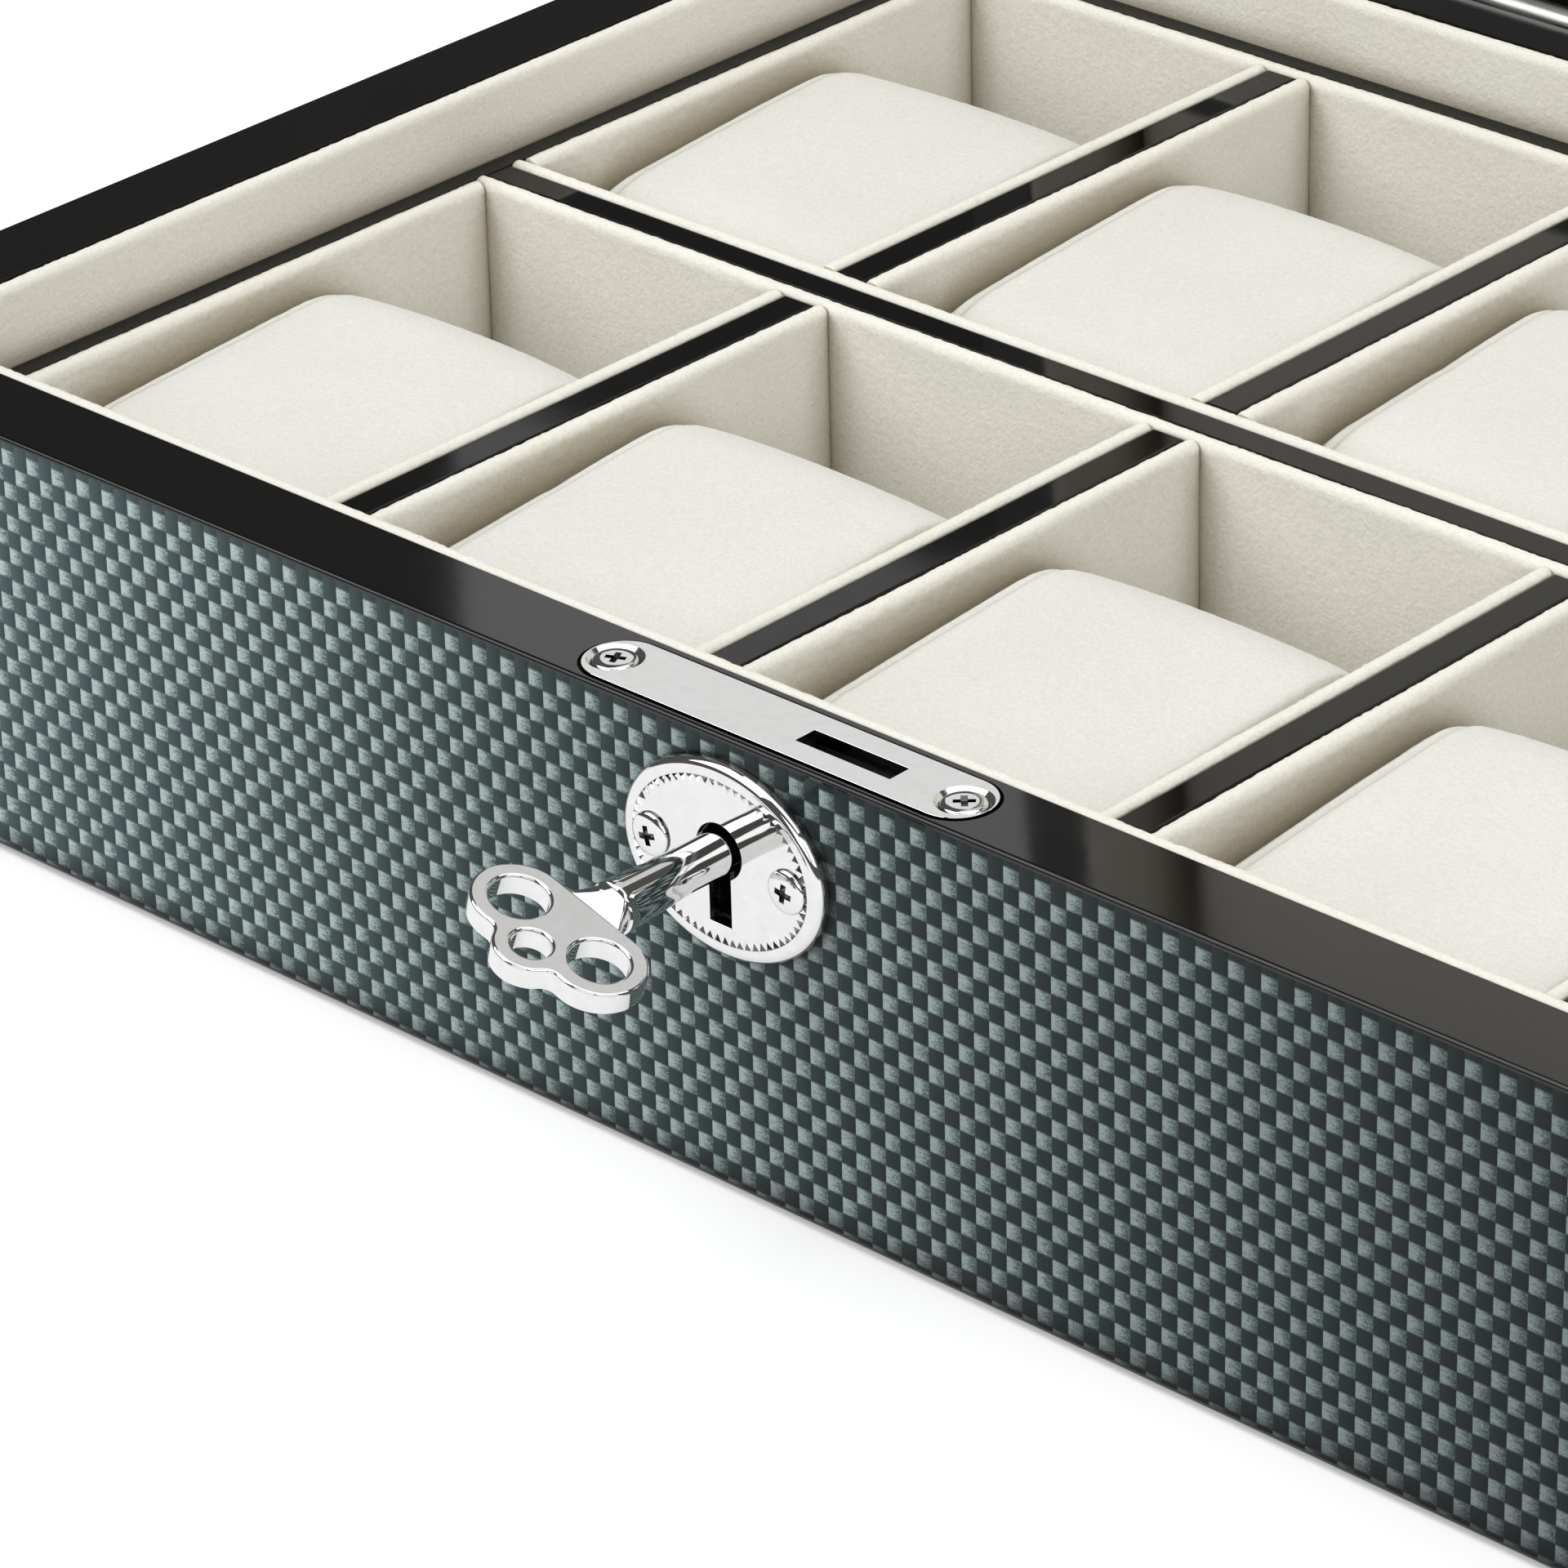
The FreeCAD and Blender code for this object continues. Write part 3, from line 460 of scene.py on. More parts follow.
# ================================================================ camera, light and floor
def camera():
    """A long lens from the front right, slightly rolled; the picture shows the front middle."""
    turn, tilt, roll = (math.radians(a) for a in (43.508, 28.224, -1.474))
    ahead = Vector(
        (-math.sin(turn) * math.cos(tilt), math.cos(turn) * math.cos(tilt), -math.sin(tilt))
    )
    right = Vector((math.cos(turn), math.sin(turn), 0))
    up = right.cross(ahead)
    rolled_right = right * math.cos(roll) + up * math.sin(roll)
    rolled_up = up * math.cos(roll) - right * math.sin(roll)
    at = Vector((0.43278, -0.55258, 0.38458))
    data = bpy.data.cameras.new("camera")
    data.sensor_width = 36
    data.lens = 164.7
    data.clip_start, data.clip_end = 0.05, 20
    made = new_object("camera", data)
    facing = Matrix((rolled_right, rolled_up, -ahead)).transposed().to_4x4()
    made.matrix_world = Matrix.Translation(at) @ facing
    scene.camera = made


def softbox(name, at, aim, size, power):
    """A rectangular light that faces a point."""
    data = bpy.data.lights.new(name, "AREA")
    data.shape = "RECTANGLE"
    data.size, data.size_y = size
    data.energy = power
    made = new_object(name, data)
    made.location = at
    made.rotation_euler = (Vector(aim) - Vector(at)).to_track_quat("-Z", "Y").to_euler()


def surroundings():
    """White floor, pale world and the soft lights."""
    reach = 6
    corners = [(-reach, -reach, 0), (reach, -reach, 0), (reach, reach, 0), (-reach, reach, 0)]
    floor = object_from("floor", corners, [(0, 1, 2, 3)])
    s = Shader("floor_white")
    pale = s.ramp(s.noise(3, 2), (0.3, (0.90, 0.90, 0.90)), (0.7, (0.92, 0.92, 0.92)))
    s.set(Base_Color=pale, Roughness=0.8, Specular_IOR_Level=0.1, Emission_Strength=0.26)
    s.surface.inputs["Emission Color"].default_value = (1, 1, 1, 1)
    floor.data.materials.append(s.material)
    world = bpy.data.worlds.new("studio")
    world.use_nodes = True
    sky = world.node_tree.nodes["Background"].inputs
    sky["Color"].default_value = (1.0, 0.99, 0.975, 1)
    sky["Strength"].default_value = 0.10
    scene.world = world
    middle = (0, 0, 0.03)
    softbox("key_light", (-0.75, -0.95, 1.25), middle, (1.4, 1.4), 17)
    softbox("top_light", (0.25, 0.0, 1.5), middle, (1.7, 1.7), 12.5)
    softbox("front_fill", (0.8, -1.6, 0.85), middle, (1.2, 0.9), 6)
    softbox("side_fill", (1.45, -0.45, 0.85), middle, (1.2, 0.9), 5.5)
    softbox("back_fill", (0.6, 1.5, 0.9), middle, (1.4, 0.8), 5)
    # panels behind the box: the front rim and the lock plate mirror one, the key's bow the other
    softbox("rim_panel", (-0.958, 0.9, 0.82), (-0.958, 0, 0.82), (0.264, 0.28), 0.198)
    softbox("bow_panel", (-0.30, 0.56, 0.92), (0, -0.125, 0.03), (0.50, 0.50), 0.55)
    scene.view_settings.view_transform = "Standard"
    scene.view_settings.look = "None"
    scene.view_settings.exposure = 0.0


camera()
surroundings()


# ================================================================ carried-over CAD nodes
def dress(names, material, bevel=0.0):
    """A material, and a fine rounding of sharp edges, for CAD nodes that stay in view."""
    for name in names:
        node = frame["nodes"][name]
        node.data.materials.clear()
        node.data.materials.append(material)
        if bevel:
            weld = node.modifiers.new("weld", "WELD")
            weld.merge_threshold = 1e-6
            rounding = node.modifiers.new("rounding", "BEVEL")
            rounding.width = bevel
            rounding.segments = 3
            rounding.limit_method = "ANGLE"
            rounding.angle_limit = math.radians(50)
            rounding.harden_normals = True


dress([f"base_wall_{side}" for side in SIDES], LACQUER)
dress([f"lid_wall_{side}" for side in SIDES], LACQUER)
dress([f"tray_rail_{side}" for side in (*SIDES, "middle")], LACQUER_TRAY, 0.35 * MM)
dress(["tray_dividers_front", "tray_dividers_back"], LACQUER_TRAY, 0.45 * MM)
dress(["base_bottom_panel", "lid_panel"], BOARD)
dress(["base_skin_front", "base_skin_back"], FILM_FRONT)
dress(["base_skin_left", "base_skin_right"], FILM_SIDE)
dress(["lid_top_skin"], FILM_LID_TOP)
dress(["lid_skins"], FILM_LID_SIDES)
dress(["lock_plate", "strike_plate", "lock_bolt"], CHROME)
dress(["lock_case", "hinge_base_leaf", "hinge_lid_leaf", "hinge_pin"], STEEL)


# ================================================================ velvet cards
PILE = 0.15 * MM


def card_profile(half, bottom, top, step):
    """Outline across a card from one foot over its rounded top to the other foot."""
    shoulder = top - half
    run = shoulder - bottom
    wide_step = 4 * MM
    dense = min(4 * MM, run / 2)
    coarse = max(1, round((run - dense) / wide_step))
    fine = max(2, round(dense / step))
    heights = [bottom + (run - dense) * i / coarse for i in range(coarse)]
    heights += [shoulder - dense + dense * i / fine for i in range(fine)]
    arc = max(4, round(math.pi * half / step))
    outline = [(-half, z) for z in heights]
    outline += [
        (-half * math.cos(math.pi * i / arc), shoulder + half * math.sin(math.pi * i / arc))
        for i in range(arc + 1)
    ]
    outline += [(half, z) for z in reversed(heights)]
    return outline


def card(bm, low, high, step, turn=None):
    """One velvet-wrapped card that fills a CAD block: rounded top, pile and a slight wave."""
    along = 0 if high.x - low.x > high.y - low.y else 1
    across = 1 - along
    half = (high[across] - low[across]) / 2
    middle = (high[across] + low[across]) / 2
    outline = card_profile(half, low.z, high.z, step)
    length = high[along] - low[along]
    end = 0.6 * MM
    count = max(4, round((length - 2 * end) / step))
    stations = [end * share for share in (0.0, 0.2, 0.5)]
    stations += [end + (length - 2 * end) * i / count for i in range(count + 1)]
    stations += [length - end * share for share in (0.5, 0.2, 0.0)]
    rows = []
    for station in stations:
        from_end = min(station, length - station, end) / end
        inset = end * 0.5 * (1 - math.sqrt(1 - (1 - from_end) ** 2))
        row = []
        for offset, z in outline:
            share = (half - inset) / half
            point = Vector((0, 0, z))
            point[along] = low[along] + station
            point[across] = middle + offset * share
            crown = min(1.0, max(0.0, (z - (high.z - 5 * MM)) / (4 * MM)))
            point.z -= inset * crown
            fuzz = ripple(point, 2300) * 0.6 + ripple(point, 5200, 3.0) * 0.4
            wave = ripple(point, 45, 7.0) * 0.10 * MM
            push = (PILE * (0.25 + 0.75 * crown)) * fuzz
            over_top = max(0.0, (z - (high.z - half)) / half)
            point[across] += (push + wave) * (offset / half)
            point.z += (push + wave) * over_top
            row.append(bm.verts.new(turn @ point if turn else point))
        rows.append(row)
    for first, second in zip(rows, rows[1:]):
        for i in range(len(outline) - 1):
            bm.faces.new((first[i], first[i + 1], second[i + 1], second[i]))
        bm.faces.new((first[-1], first[0], second[0], second[-1]))
    bm.faces.new(rows[0])
    bm.faces.new(rows[-1])


def velvet_cards(node, body, step=0.5 * MM, turn=None):
    bm = bmesh.new()
    for low, high in solids(node, turn):
        card(bm, low, high, step, turn)
    made = object_from_bmesh(f"velvet_{node}", bm)
    smooth(made)
    finish_piece(made, body, VELVET, "lining_velvet", node)


for side in SIDES:
    velvet_cards(f"lining_{side}", "base")
for place in ("card_front", "card_back", "card_middle_front", "card_middle_back"):
    velvet_cards(f"tray_{place}", "base")
for row in ("front", "back"):
    velvet_cards(f"tray_side_cards_{row}", "base")
velvet_cards("lid_lining_cards", "lid", 1.2 * MM, IN_LID)


def soft_sheet(name, node, material, slot, step, amount):
    """A flat fabric sheet over a CAD block, with rounded edges and a slight unevenness."""
    low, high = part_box(node)
    thick = high.z - low.z
    columns = max(2, round((high.x - low.x) / step))
    rows = max(2, round((high.y - low.y) / step))
    bm = bmesh.new()
    bmesh.ops.create_grid(bm, x_segments=columns, y_segments=rows, size=0.5)
    for vert in bm.verts:
        x = low.x + (vert.co.x + 0.5) * (high.x - low.x)
        y = low.y + (vert.co.y + 0.5) * (high.y - low.y)
        edge = min(x - low.x, high.x - x, y - low.y, high.y - y)
        drop = thick * 0.3 * max(0.0, 1 - edge / (1.5 * step)) ** 2
        z = high.z - drop + amount * (ripple((x, y, 0), 120) - 1)
        vert.co = (x, y, z)
    middle = (low + high) / 2
    border = [vert for vert in bm.verts if vert.is_boundary]
    border.sort(key=lambda vert: math.atan2(vert.co.y - middle.y, vert.co.x - middle.x))
    foot = [bm.verts.new((vert.co.x, vert.co.y, low.z)) for vert in border]
    for i in range(len(border)):
        bm.faces.new((border[i - 1], border[i], foot[i], foot[i - 1]))
    bm.faces.new(foot)
    made = object_from_bmesh(name, bm)
    smooth(made, 50)
    finish_piece(made, "base", material, slot, node)


soft_sheet("velvet_floor_card", "floor_card", VELVET, "lining_velvet", 3 * MM, 0.1 * MM)
soft_sheet("felt_underside", "base_felt", FELT, "underside_felt", 5 * MM, 0.03 * MM)


# ================================================================ cushions
cushion_low, cushion_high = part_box("cushion_front_1")
CUSHION = (cushion_high - cushion_low) / 2
ROUND = 13 * MM
TUCK = 3.4 * MM
# the top climbs by this share towards the back, and is highest in the middle by the crown
SLOPE = 0.065
CROWN = 1.2 * MM
# how far the velvet stands above the CAD cushion
RISE = 1.4 * MM
HALF_HEIGHT = CUSHION.z + (RISE - CROWN) / 2
SEAM_DEPTH, SEAM_WIDTH, SEAM_FROM_SIDE = 0.8 * MM, 0.45 * MM, 2.9 * MM


def rounded_outline(half_y, half_z, count):
    """Closed outline in Y and Z: a rounded rectangle whose top climbs towards the back."""
    straight_y = half_y - ROUND
    straight_z = half_z - ROUND
    quarter = math.pi * ROUND / 2
    sides = (2 * straight_z, quarter, 2 * straight_y, quarter) * 2
    points = []
    for i in range(count):
        s = sum(sides) * i / count
        k = 0
        while s > sides[k]:
            s -= sides[k]
            k += 1
        turn = k // 2
        out, half_run = (half_z, straight_y) if turn % 2 else (half_y, straight_z)
        if k % 2 == 0:
            normal = Vector((1, 0))
            local = Vector((out, s - half_run))
        else:
            phi = s / ROUND
            normal = Vector((math.cos(phi), math.sin(phi)))
            local = Vector((out - ROUND, half_run)) + normal * ROUND
        rotate = Matrix.Rotation(turn * math.pi / 2, 2)
        point = rotate @ local
        point.y += SLOPE * max(0.0, point.y / half_z) * (point.x - straight_y)
        points.append((point, rotate @ normal))
    return points


def cushion_mesh(name, half_x, half_y, half_z, count, inner, curl):
    """A wrapped cushion: the outline carried across, tucked in at both sides, closed panels.

    Count, inner and curl are the points round it, across its flat middle and on each tuck.
    """
    outline = rounded_outline(half_y, half_z, count)
    belly = 0.35 * MM
    arc = [math.pi / 2 * i / curl for i in range(1, curl + 1)]
    right = [(half_x - TUCK + TUCK * math.sin(a), TUCK * (1 - math.cos(a))) for a in arc]
    stations = [(-x, inset) for x, inset in reversed(right)]
    stations += [((half_x - TUCK) * i / inner, 0.0) for i in range(-inner, inner + 1)]
    stations += right
    caps = (0.40, 0.62, 0.8)
    bm = bmesh.new()
    rings = []

    def ring(x, place):
        rings.append([bm.verts.new((x, *place(p, n))) for p, n in outline])

    def shrunk(share):
        return lambda p, n: (p - n * TUCK) * (1 - share)

    for share in reversed(caps):
        ring(-half_x - belly * share, shrunk(share))
    for x, inset in stations:
        swell = CROWN * (1 - (x / half_x) ** 2)
        ring(x, lambda p, n: p - n * inset + Vector((0, swell * max(0.0, p.y / half_z))))
    for share in caps:
        ring(half_x + belly * share, shrunk(share))
    for first, second in zip(rings, rings[1:]):
        for i in range(count):
            j = (i + 1) % count
            bm.faces.new((first[i], first[j], second[j], second[i]))
    bm.faces.new(rings[0])
    bm.faces.new(list(reversed(rings[-1])))
    return object_from_bmesh(name, bm)


def inflate(made, cap, frames=20):
    """Swell a closed mesh as stuffed cloth; no point moves further than the cap."""
    remesh = made.modifiers.new("even", "REMESH")
    remesh.mode = "VOXEL"
    remesh.voxel_size = 3 * MM
    bake(made)
    start = np.array([v.co for v in made.data.vertices])
    cloth = made.modifiers.new("cloth", "CLOTH")
    cloth.settings.quality = 6
    cloth.settings.mass = 0.2
    cloth.settings.tension_stiffness = 12
    cloth.settings.compression_stiffness = 12
    cloth.settings.shear_stiffness = 6
    cloth.settings.bending_stiffness = 0.6
    cloth.settings.use_pressure = True
    cloth.settings.uniform_pressure_force = 3.0
    cloth.settings.effector_weights.gravity = 0
    cloth.point_cache.frame_start = 1
    cloth.point_cache.frame_end = frames
    for number in range(1, frames + 1):
        scene.frame_set(number)
    bake(made)
    scene.frame_set(1)
    moved = np.array([v.co for v in made.data.vertices]) - start
    distance = np.linalg.norm(moved, axis=1, keepdims=True)
    limited = start + moved * np.minimum(1, cap / np.maximum(distance, 1e-9))
    made.data.vertices.foreach_set("co", limited.astype(np.float32).ravel())
    made.data.update()
    subdivide = made.modifiers.new("even", "SUBSURF")
    subdivide.levels = subdivide.render_levels = 1
    bake(made)


def draw_to(made, target, share):
    """Draw the detailed mesh towards the simulated one."""
    bm = bmesh.new()
    bm.from_mesh(target.data)
    tree = BVHTree.FromBMesh(bm)
    bm.free()
    for vert in made.data.vertices:
        vert.co = vert.co.lerp(tree.find_nearest(vert.co)[0], share)


def stuffed_forms(count):
    """The simulated shapes that the ten cushions are made from."""
    shrink = 0.5 * MM
    half = (CUSHION.x - shrink, CUSHION.y - shrink, HALF_HEIGHT - shrink)
    forms = []
    for number in range(count):
        form = cushion_mesh("stuffing", *half, 64, 6, 3)
        for vert in form.data.vertices:
            vert.co += vert.co.normalized() * ripple(vert.co, 38, 5.0 * number) * 0.35 * MM
        inflate(form, 1.0 * MM)
        forms.append(form)
    return forms


def seam(point):
    """Depth of the stitched groove beside each side panel, at a point of the cushion."""
    if point.z <= -CUSHION.z * 0.9:
        return 0.0
    beside = abs(point.x) - (CUSHION.x - SEAM_FROM_SIDE)
    return SEAM_DEPTH * math.exp(-((beside / SEAM_WIDTH) ** 2))


def cushions():
    """Ten cushions drawn to the stuffed forms, every third one mirrored, then seamed."""
    forms = stuffed_forms(2)
    places = [(side, column) for side in ("front", "back") for column in range(1, 6)]
    for number, (side, column) in enumerate(places):
        node = f"cushion_{side}_{column}"
        low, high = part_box(node)
        middle = (low + high) / 2
        name = f"cushion_velvet_{side}_{column}"
        made = cushion_mesh(name, CUSHION.x, CUSHION.y, HALF_HEIGHT, 150, 22, 14)
        draw_to(made, forms[number % len(forms)], 0.4)
        mirrored = number % 3 == 1
        normals = [n.vector.copy() for n in made.data.vertex_normals]
        for vert, normal in zip(made.data.vertices, normals):
            p = vert.co.copy()
            pile = 0.05 * MM * ripple(p, 2100, number)
            slump = 0.25 * MM * ripple(p, 30, 11.0 + number) if p.z > 0 else 0.0
            p += normal * (pile - seam(p) + slump)
            if mirrored:
                p.x = -p.x
            p.x = clamped(p.x, CUSHION.x + 0.25 * MM)
            p.z = max(-CUSHION.z - RISE / 2, p.z)
            vert.co = p + middle + Vector((0, 0, RISE / 2))
        if mirrored:
            made.data.flip_normals()
        smooth(made)
        finish_piece(made, node, CUSHION_VELVET, "cushion_velvet", node)
    for form in forms:
        bpy.data.objects.remove(form)


cushions()


def lid_pad():
    """The padded panel inside the lid, made flat on its back and then laid in the open lid."""
    low, high = solids("lid_pad", IN_LID)[0]
    size_x, size_y, thick = high - low
    middle = (low + high) / 2
    cuts = 40
    bm = bmesh.new()
    bmesh.ops.create_cube(bm, size=1)
    level = [e for e in bm.edges if abs((e.verts[0].co - e.verts[1].co).z) < 0.5]
    bmesh.ops.subdivide_edges(bm, edges=level, cuts=cuts, use_grid_fill=True)
    for vert in bm.verts:
        x, y, z = vert.co
        edge = min(0.5 - abs(x), 0.5 - abs(y)) * cuts
        tuck = 0.75 + 0.25 * min(1.0, edge / 2)
        vert.co = (x * (size_x - 2 * MM), y * (size_y - 2 * MM), z * thick * tuck)
    made = object_from_bmesh("velvet_lid_pad", bm)
    inflate(made, 0.8 * MM, 12)
    for vert in made.data.vertices:
        p = vert.co
        p.x = clamped(p.x, size_x / 2)
        p.y = clamped(p.y, size_y / 2)
        p.z = max(-thick / 2, p.z)
        vert.co = IN_LID @ (p + middle)
    smooth(made)
    finish_piece(made, "lid", VELVET, "lining_velvet", "lid_pad")


lid_pad()


# ================================================================ lock, escutcheon and key
def cut_with(made, tool):
    """Take the tool's shape out of the piece."""
    cut = made.modifiers.new("cut", "BOOLEAN")
    cut.operation = "DIFFERENCE"
    cut.solver = "EXACT"
    cut.object = tool
    bake(made)
    bpy.data.objects.remove(tool)


def ease_edges(made, width, segments, angle=35, flat=False):
    """Round the sharp edges of a metal piece, or give them flat chamfers."""
    rounding = made.modifiers.new("rounding", "BEVEL")
    rounding.width = width
    rounding.segments = segments
    rounding.limit_method = "ANGLE"
    rounding.angle_limit = math.radians(angle)
    rounding.harden_normals = not flat
    if not flat:
        made.data.shade_smooth()
    bake(made)


def turned(name, profile, count=72):
    """A round piece from (radius, height) pairs, on the Z axis."""
    angles = [2 * math.pi * i / count for i in range(count)]
    rings = [
        [(radius * math.cos(a), radius * math.sin(a), height) for a in angles]
        for radius, height in profile
    ]
    return shell(name, rings)


def prism(name, outline, low, high):
    """A straight-sided solid from an outline in X and Y."""
    count = len(outline)
    verts = [(x, y, z) for z in (low, high) for x, y in outline]
    faces = [tuple(reversed(range(count))), tuple(range(count, 2 * count))]
    faces += [(i, (i + 1) % count, count + (i + 1) % count, count + i) for i in range(count)]
    return object_from(name, verts, faces)


def box_outline(low_x, high_x, low_y, high_y):
    return [(low_x, low_y), (high_x, low_y), (high_x, high_y), (low_x, high_y)]


def joined(name, parts):
    """Several loose meshes as one piece."""
    bm = bmesh.new()
    for part in parts:
        part.data.transform(part.matrix_world)
        bm.from_mesh(part.data)
        bpy.data.objects.remove(part)
    mesh = bpy.data.meshes.new(name)
    bm.to_mesh(mesh)
    bm.free()
    return new_object(name, mesh)


def arc_points(centre, radius, start, end, count, clockwise=False):
    """Points of an arc between two angles."""
    if clockwise and end > start:
        end -= 2 * math.pi
    if not clockwise and end < start:
        end += 2 * math.pi
    return [
        (centre[0] + radius * math.cos(start + (end - start) * i / count),
         centre[1] + radius * math.sin(start + (end - start) * i / count))
        for i in range(count + 1)
    ]


HEAD = 2.42 * MM
SHANK = 1.3 * MM
RIM_SCREW_LENGTH = 8.4 * MM


def screw(dome, length, spin, wall, power):
    """Screw with a cross recess, head upwards, its rim at height 0; a high power flattens it."""

    def surface(radius):
        return dome * math.sqrt(1 - min(1.0, radius / HEAD) ** power)

    radii = [HEAD * math.sin(math.pi / 2 * i / 12) for i in range(1, 13)]
    profile = [(HEAD * 0.06, dome)] + [(r, surface(r)) for r in radii]
    profile += [(HEAD, -wall), (SHANK, -wall - (HEAD - SHANK)), (SHANK, -length)]
    made = turned("screw", profile)
    arm, half_width, depth = 1.7 * MM, 0.4 * MM, 0.5 * MM
    for quarter in (0, 1):
        outline = box_outline(-arm, arm, -half_width, half_width)
        tool = prism("recess", outline, dome - depth, dome + 1 * MM)
        for vert in tool.data.vertices:
            if vert.co.z < dome:
                vert.co.x *= 0.5
                vert.co.y *= 0.8
        tool.rotation_euler = (0, 0, quarter * math.pi / 2)
        bpy.context.view_layer.update()
        cut_with(made, tool)
    ease_edges(made, 0.05 * MM, 2, 40)
    # painted shade: the recess and the head's wall get the dark chrome
    for face in made.data.polygons:
        radius = math.hypot(face.center.x, face.center.y)
        sunk = radius < arm + half_width and face.center.z < surface(radius) - 0.05 * MM
        face.material_index = 1 if sunk or face.center.z < -0.02 * MM else 0
    made.data.transform(Matrix.Rotation(math.radians(spin), 4, "Z"))
    return made


def screws(node, body, places, facing, dome, length, spins, wall=0.12 * MM, power=2):
    parts = []
    for place, spin in zip(places, spins):
        part = screw(dome, length, spin, wall, power)
        part.data.transform(Matrix.Translation(place) @ facing)
        parts.append(part)
    made = joined(f"chrome_{node}", parts)
    finish_piece(made, body, CHROME, "polished_chrome", node, painted_shade_material=CHROME_PAINTED_SHADE)


UP = Matrix.Identity(4)
OUT = Matrix.Rotation(math.pi / 2, 4, "X")

plate_low, plate_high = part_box("lock_plate")
plate_middle = (plate_low + plate_high) / 2
PLATE_HALF = (plate_high - plate_low) / 2
PLATE_PROUD = 0.15 * MM


def obround_outline(half_length, radius, count=28):
    outline = []
    for sign in (1, -1):
        for i in range(count + 1):
            a = -math.pi / 2 + math.pi * i / count
            x = sign * (half_length - radius + radius * math.cos(a))
            outline.append((x, sign * radius * math.sin(a)))
    return outline


def lock_plate():
    """Obround plate: chamfered edge, countersunk screws and the slot for the hook."""
    gap = 0.4 * MM
    outline = obround_outline(PLATE_HALF.x - gap, PLATE_HALF.y - gap)
    made = prism("chrome_lock_plate", outline, -2 * PLATE_HALF.z, 0)
    screw_at = 23.55 * MM
    for sign in (-1, 1):
        bore, mouth = 1.35 * MM, 3.45 * MM
        sink = turned("sink", [(bore, -3 * MM), (bore, -1.45 * MM), (mouth, 0.35 * MM)])
        sink.location = (sign * screw_at, 0, 0)
        bpy.context.view_layer.update()
        cut_with(made, sink)
    slot_x, slot_half, slot_y = 8.8 * MM, 6.3 * MM, 1.45 * MM
    outline = box_outline(slot_x - slot_half, slot_x + slot_half, -slot_y, slot_y)
    cut_with(made, prism("slot", outline, -3 * MM, 1 * MM))
    ease_edges(made, 0.6 * MM, 1, flat=True)
    place = Vector((plate_middle.x, plate_middle.y, plate_high.z + PLATE_PROUD))
    made.data.transform(Matrix.Translation(place))
    finish_piece(made, "base", CHROME, "polished_chrome", "lock_plate")
    sunk = 0.4 * MM
    places = [place + Vector((sign * screw_at, 0, -sunk)) for sign in (-1, 1)]
    dome, spins = 0.35 * MM, (24, 43)
    screws("lock_plate_screws", "base", places, UP, dome, RIM_SCREW_LENGTH, spins, power=9)


def escutcheon():
    """Oval plate with a rolled rim, a ring of small punched points and a keyhole."""
    low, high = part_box("escutcheon")
    half_x, half_z = (high.x - low.x) / 2, (high.z - low.z) / 2
    thick = high.y - low.y
    middle = Vector(((low.x + high.x) / 2, high.y, (low.z + high.z) / 2))
    rolled = 1.1 * MM
    profile = [(0.0, 0.0)]
    profile += [
        (rolled * (1 - math.cos(a)), thick - rolled * 0.85 * (1 - math.sin(a)))
        for a in (math.pi / 2 * i / 10 for i in range(11))
    ]
    angles = [2 * math.pi * i / 160 for i in range(160)]
    rings = [
        [((half_x - inset) * math.cos(a), (half_z - inset) * math.sin(a), height) for a in angles]
        for inset, height in profile
    ]
    made = shell("chrome_escutcheon", rings)
    hole, slot, reach = 3.1 * MM, 1.5 * MM, 8.3 * MM
    key_x, key_z = KEY.x - middle.x, KEY.z - middle.z
    side = math.asin(slot / hole)
    outline = [(key_x + slot, key_z - reach)]
    outline += arc_points((key_x, key_z), hole, side - math.pi / 2, 3 * math.pi / 2 - side, 48)
    outline.append((key_x - slot, key_z - reach))
    cut_with(made, prism("keyhole", outline, -1 * MM, thick + 1 * MM))
    ease_edges(made, 0.10 * MM, 3, 50)
    from_edge = 1.95 * MM
    points = bead_ring(half_x - from_edge, half_z - from_edge, thick, 62)
    made = joined("chrome_escutcheon", [made, points])
    made.data.transform(Matrix.Translation(middle) @ OUT)
    finish_piece(made, "base", CHROME, "polished_chrome", "escutcheon", painted_shade_material=CHROME_PAINTED_SHADE)
    screw_at, raised = 9.3 * MM, 0.2 * MM
    places = [middle + Vector((sign * screw_at, -thick - raised, 0)) for sign in (-1, 1)]
    screws("escutcheon_screws", "base", places, OUT, 0.6 * MM, 3.4 * MM, (12, -8), 0.3 * MM)


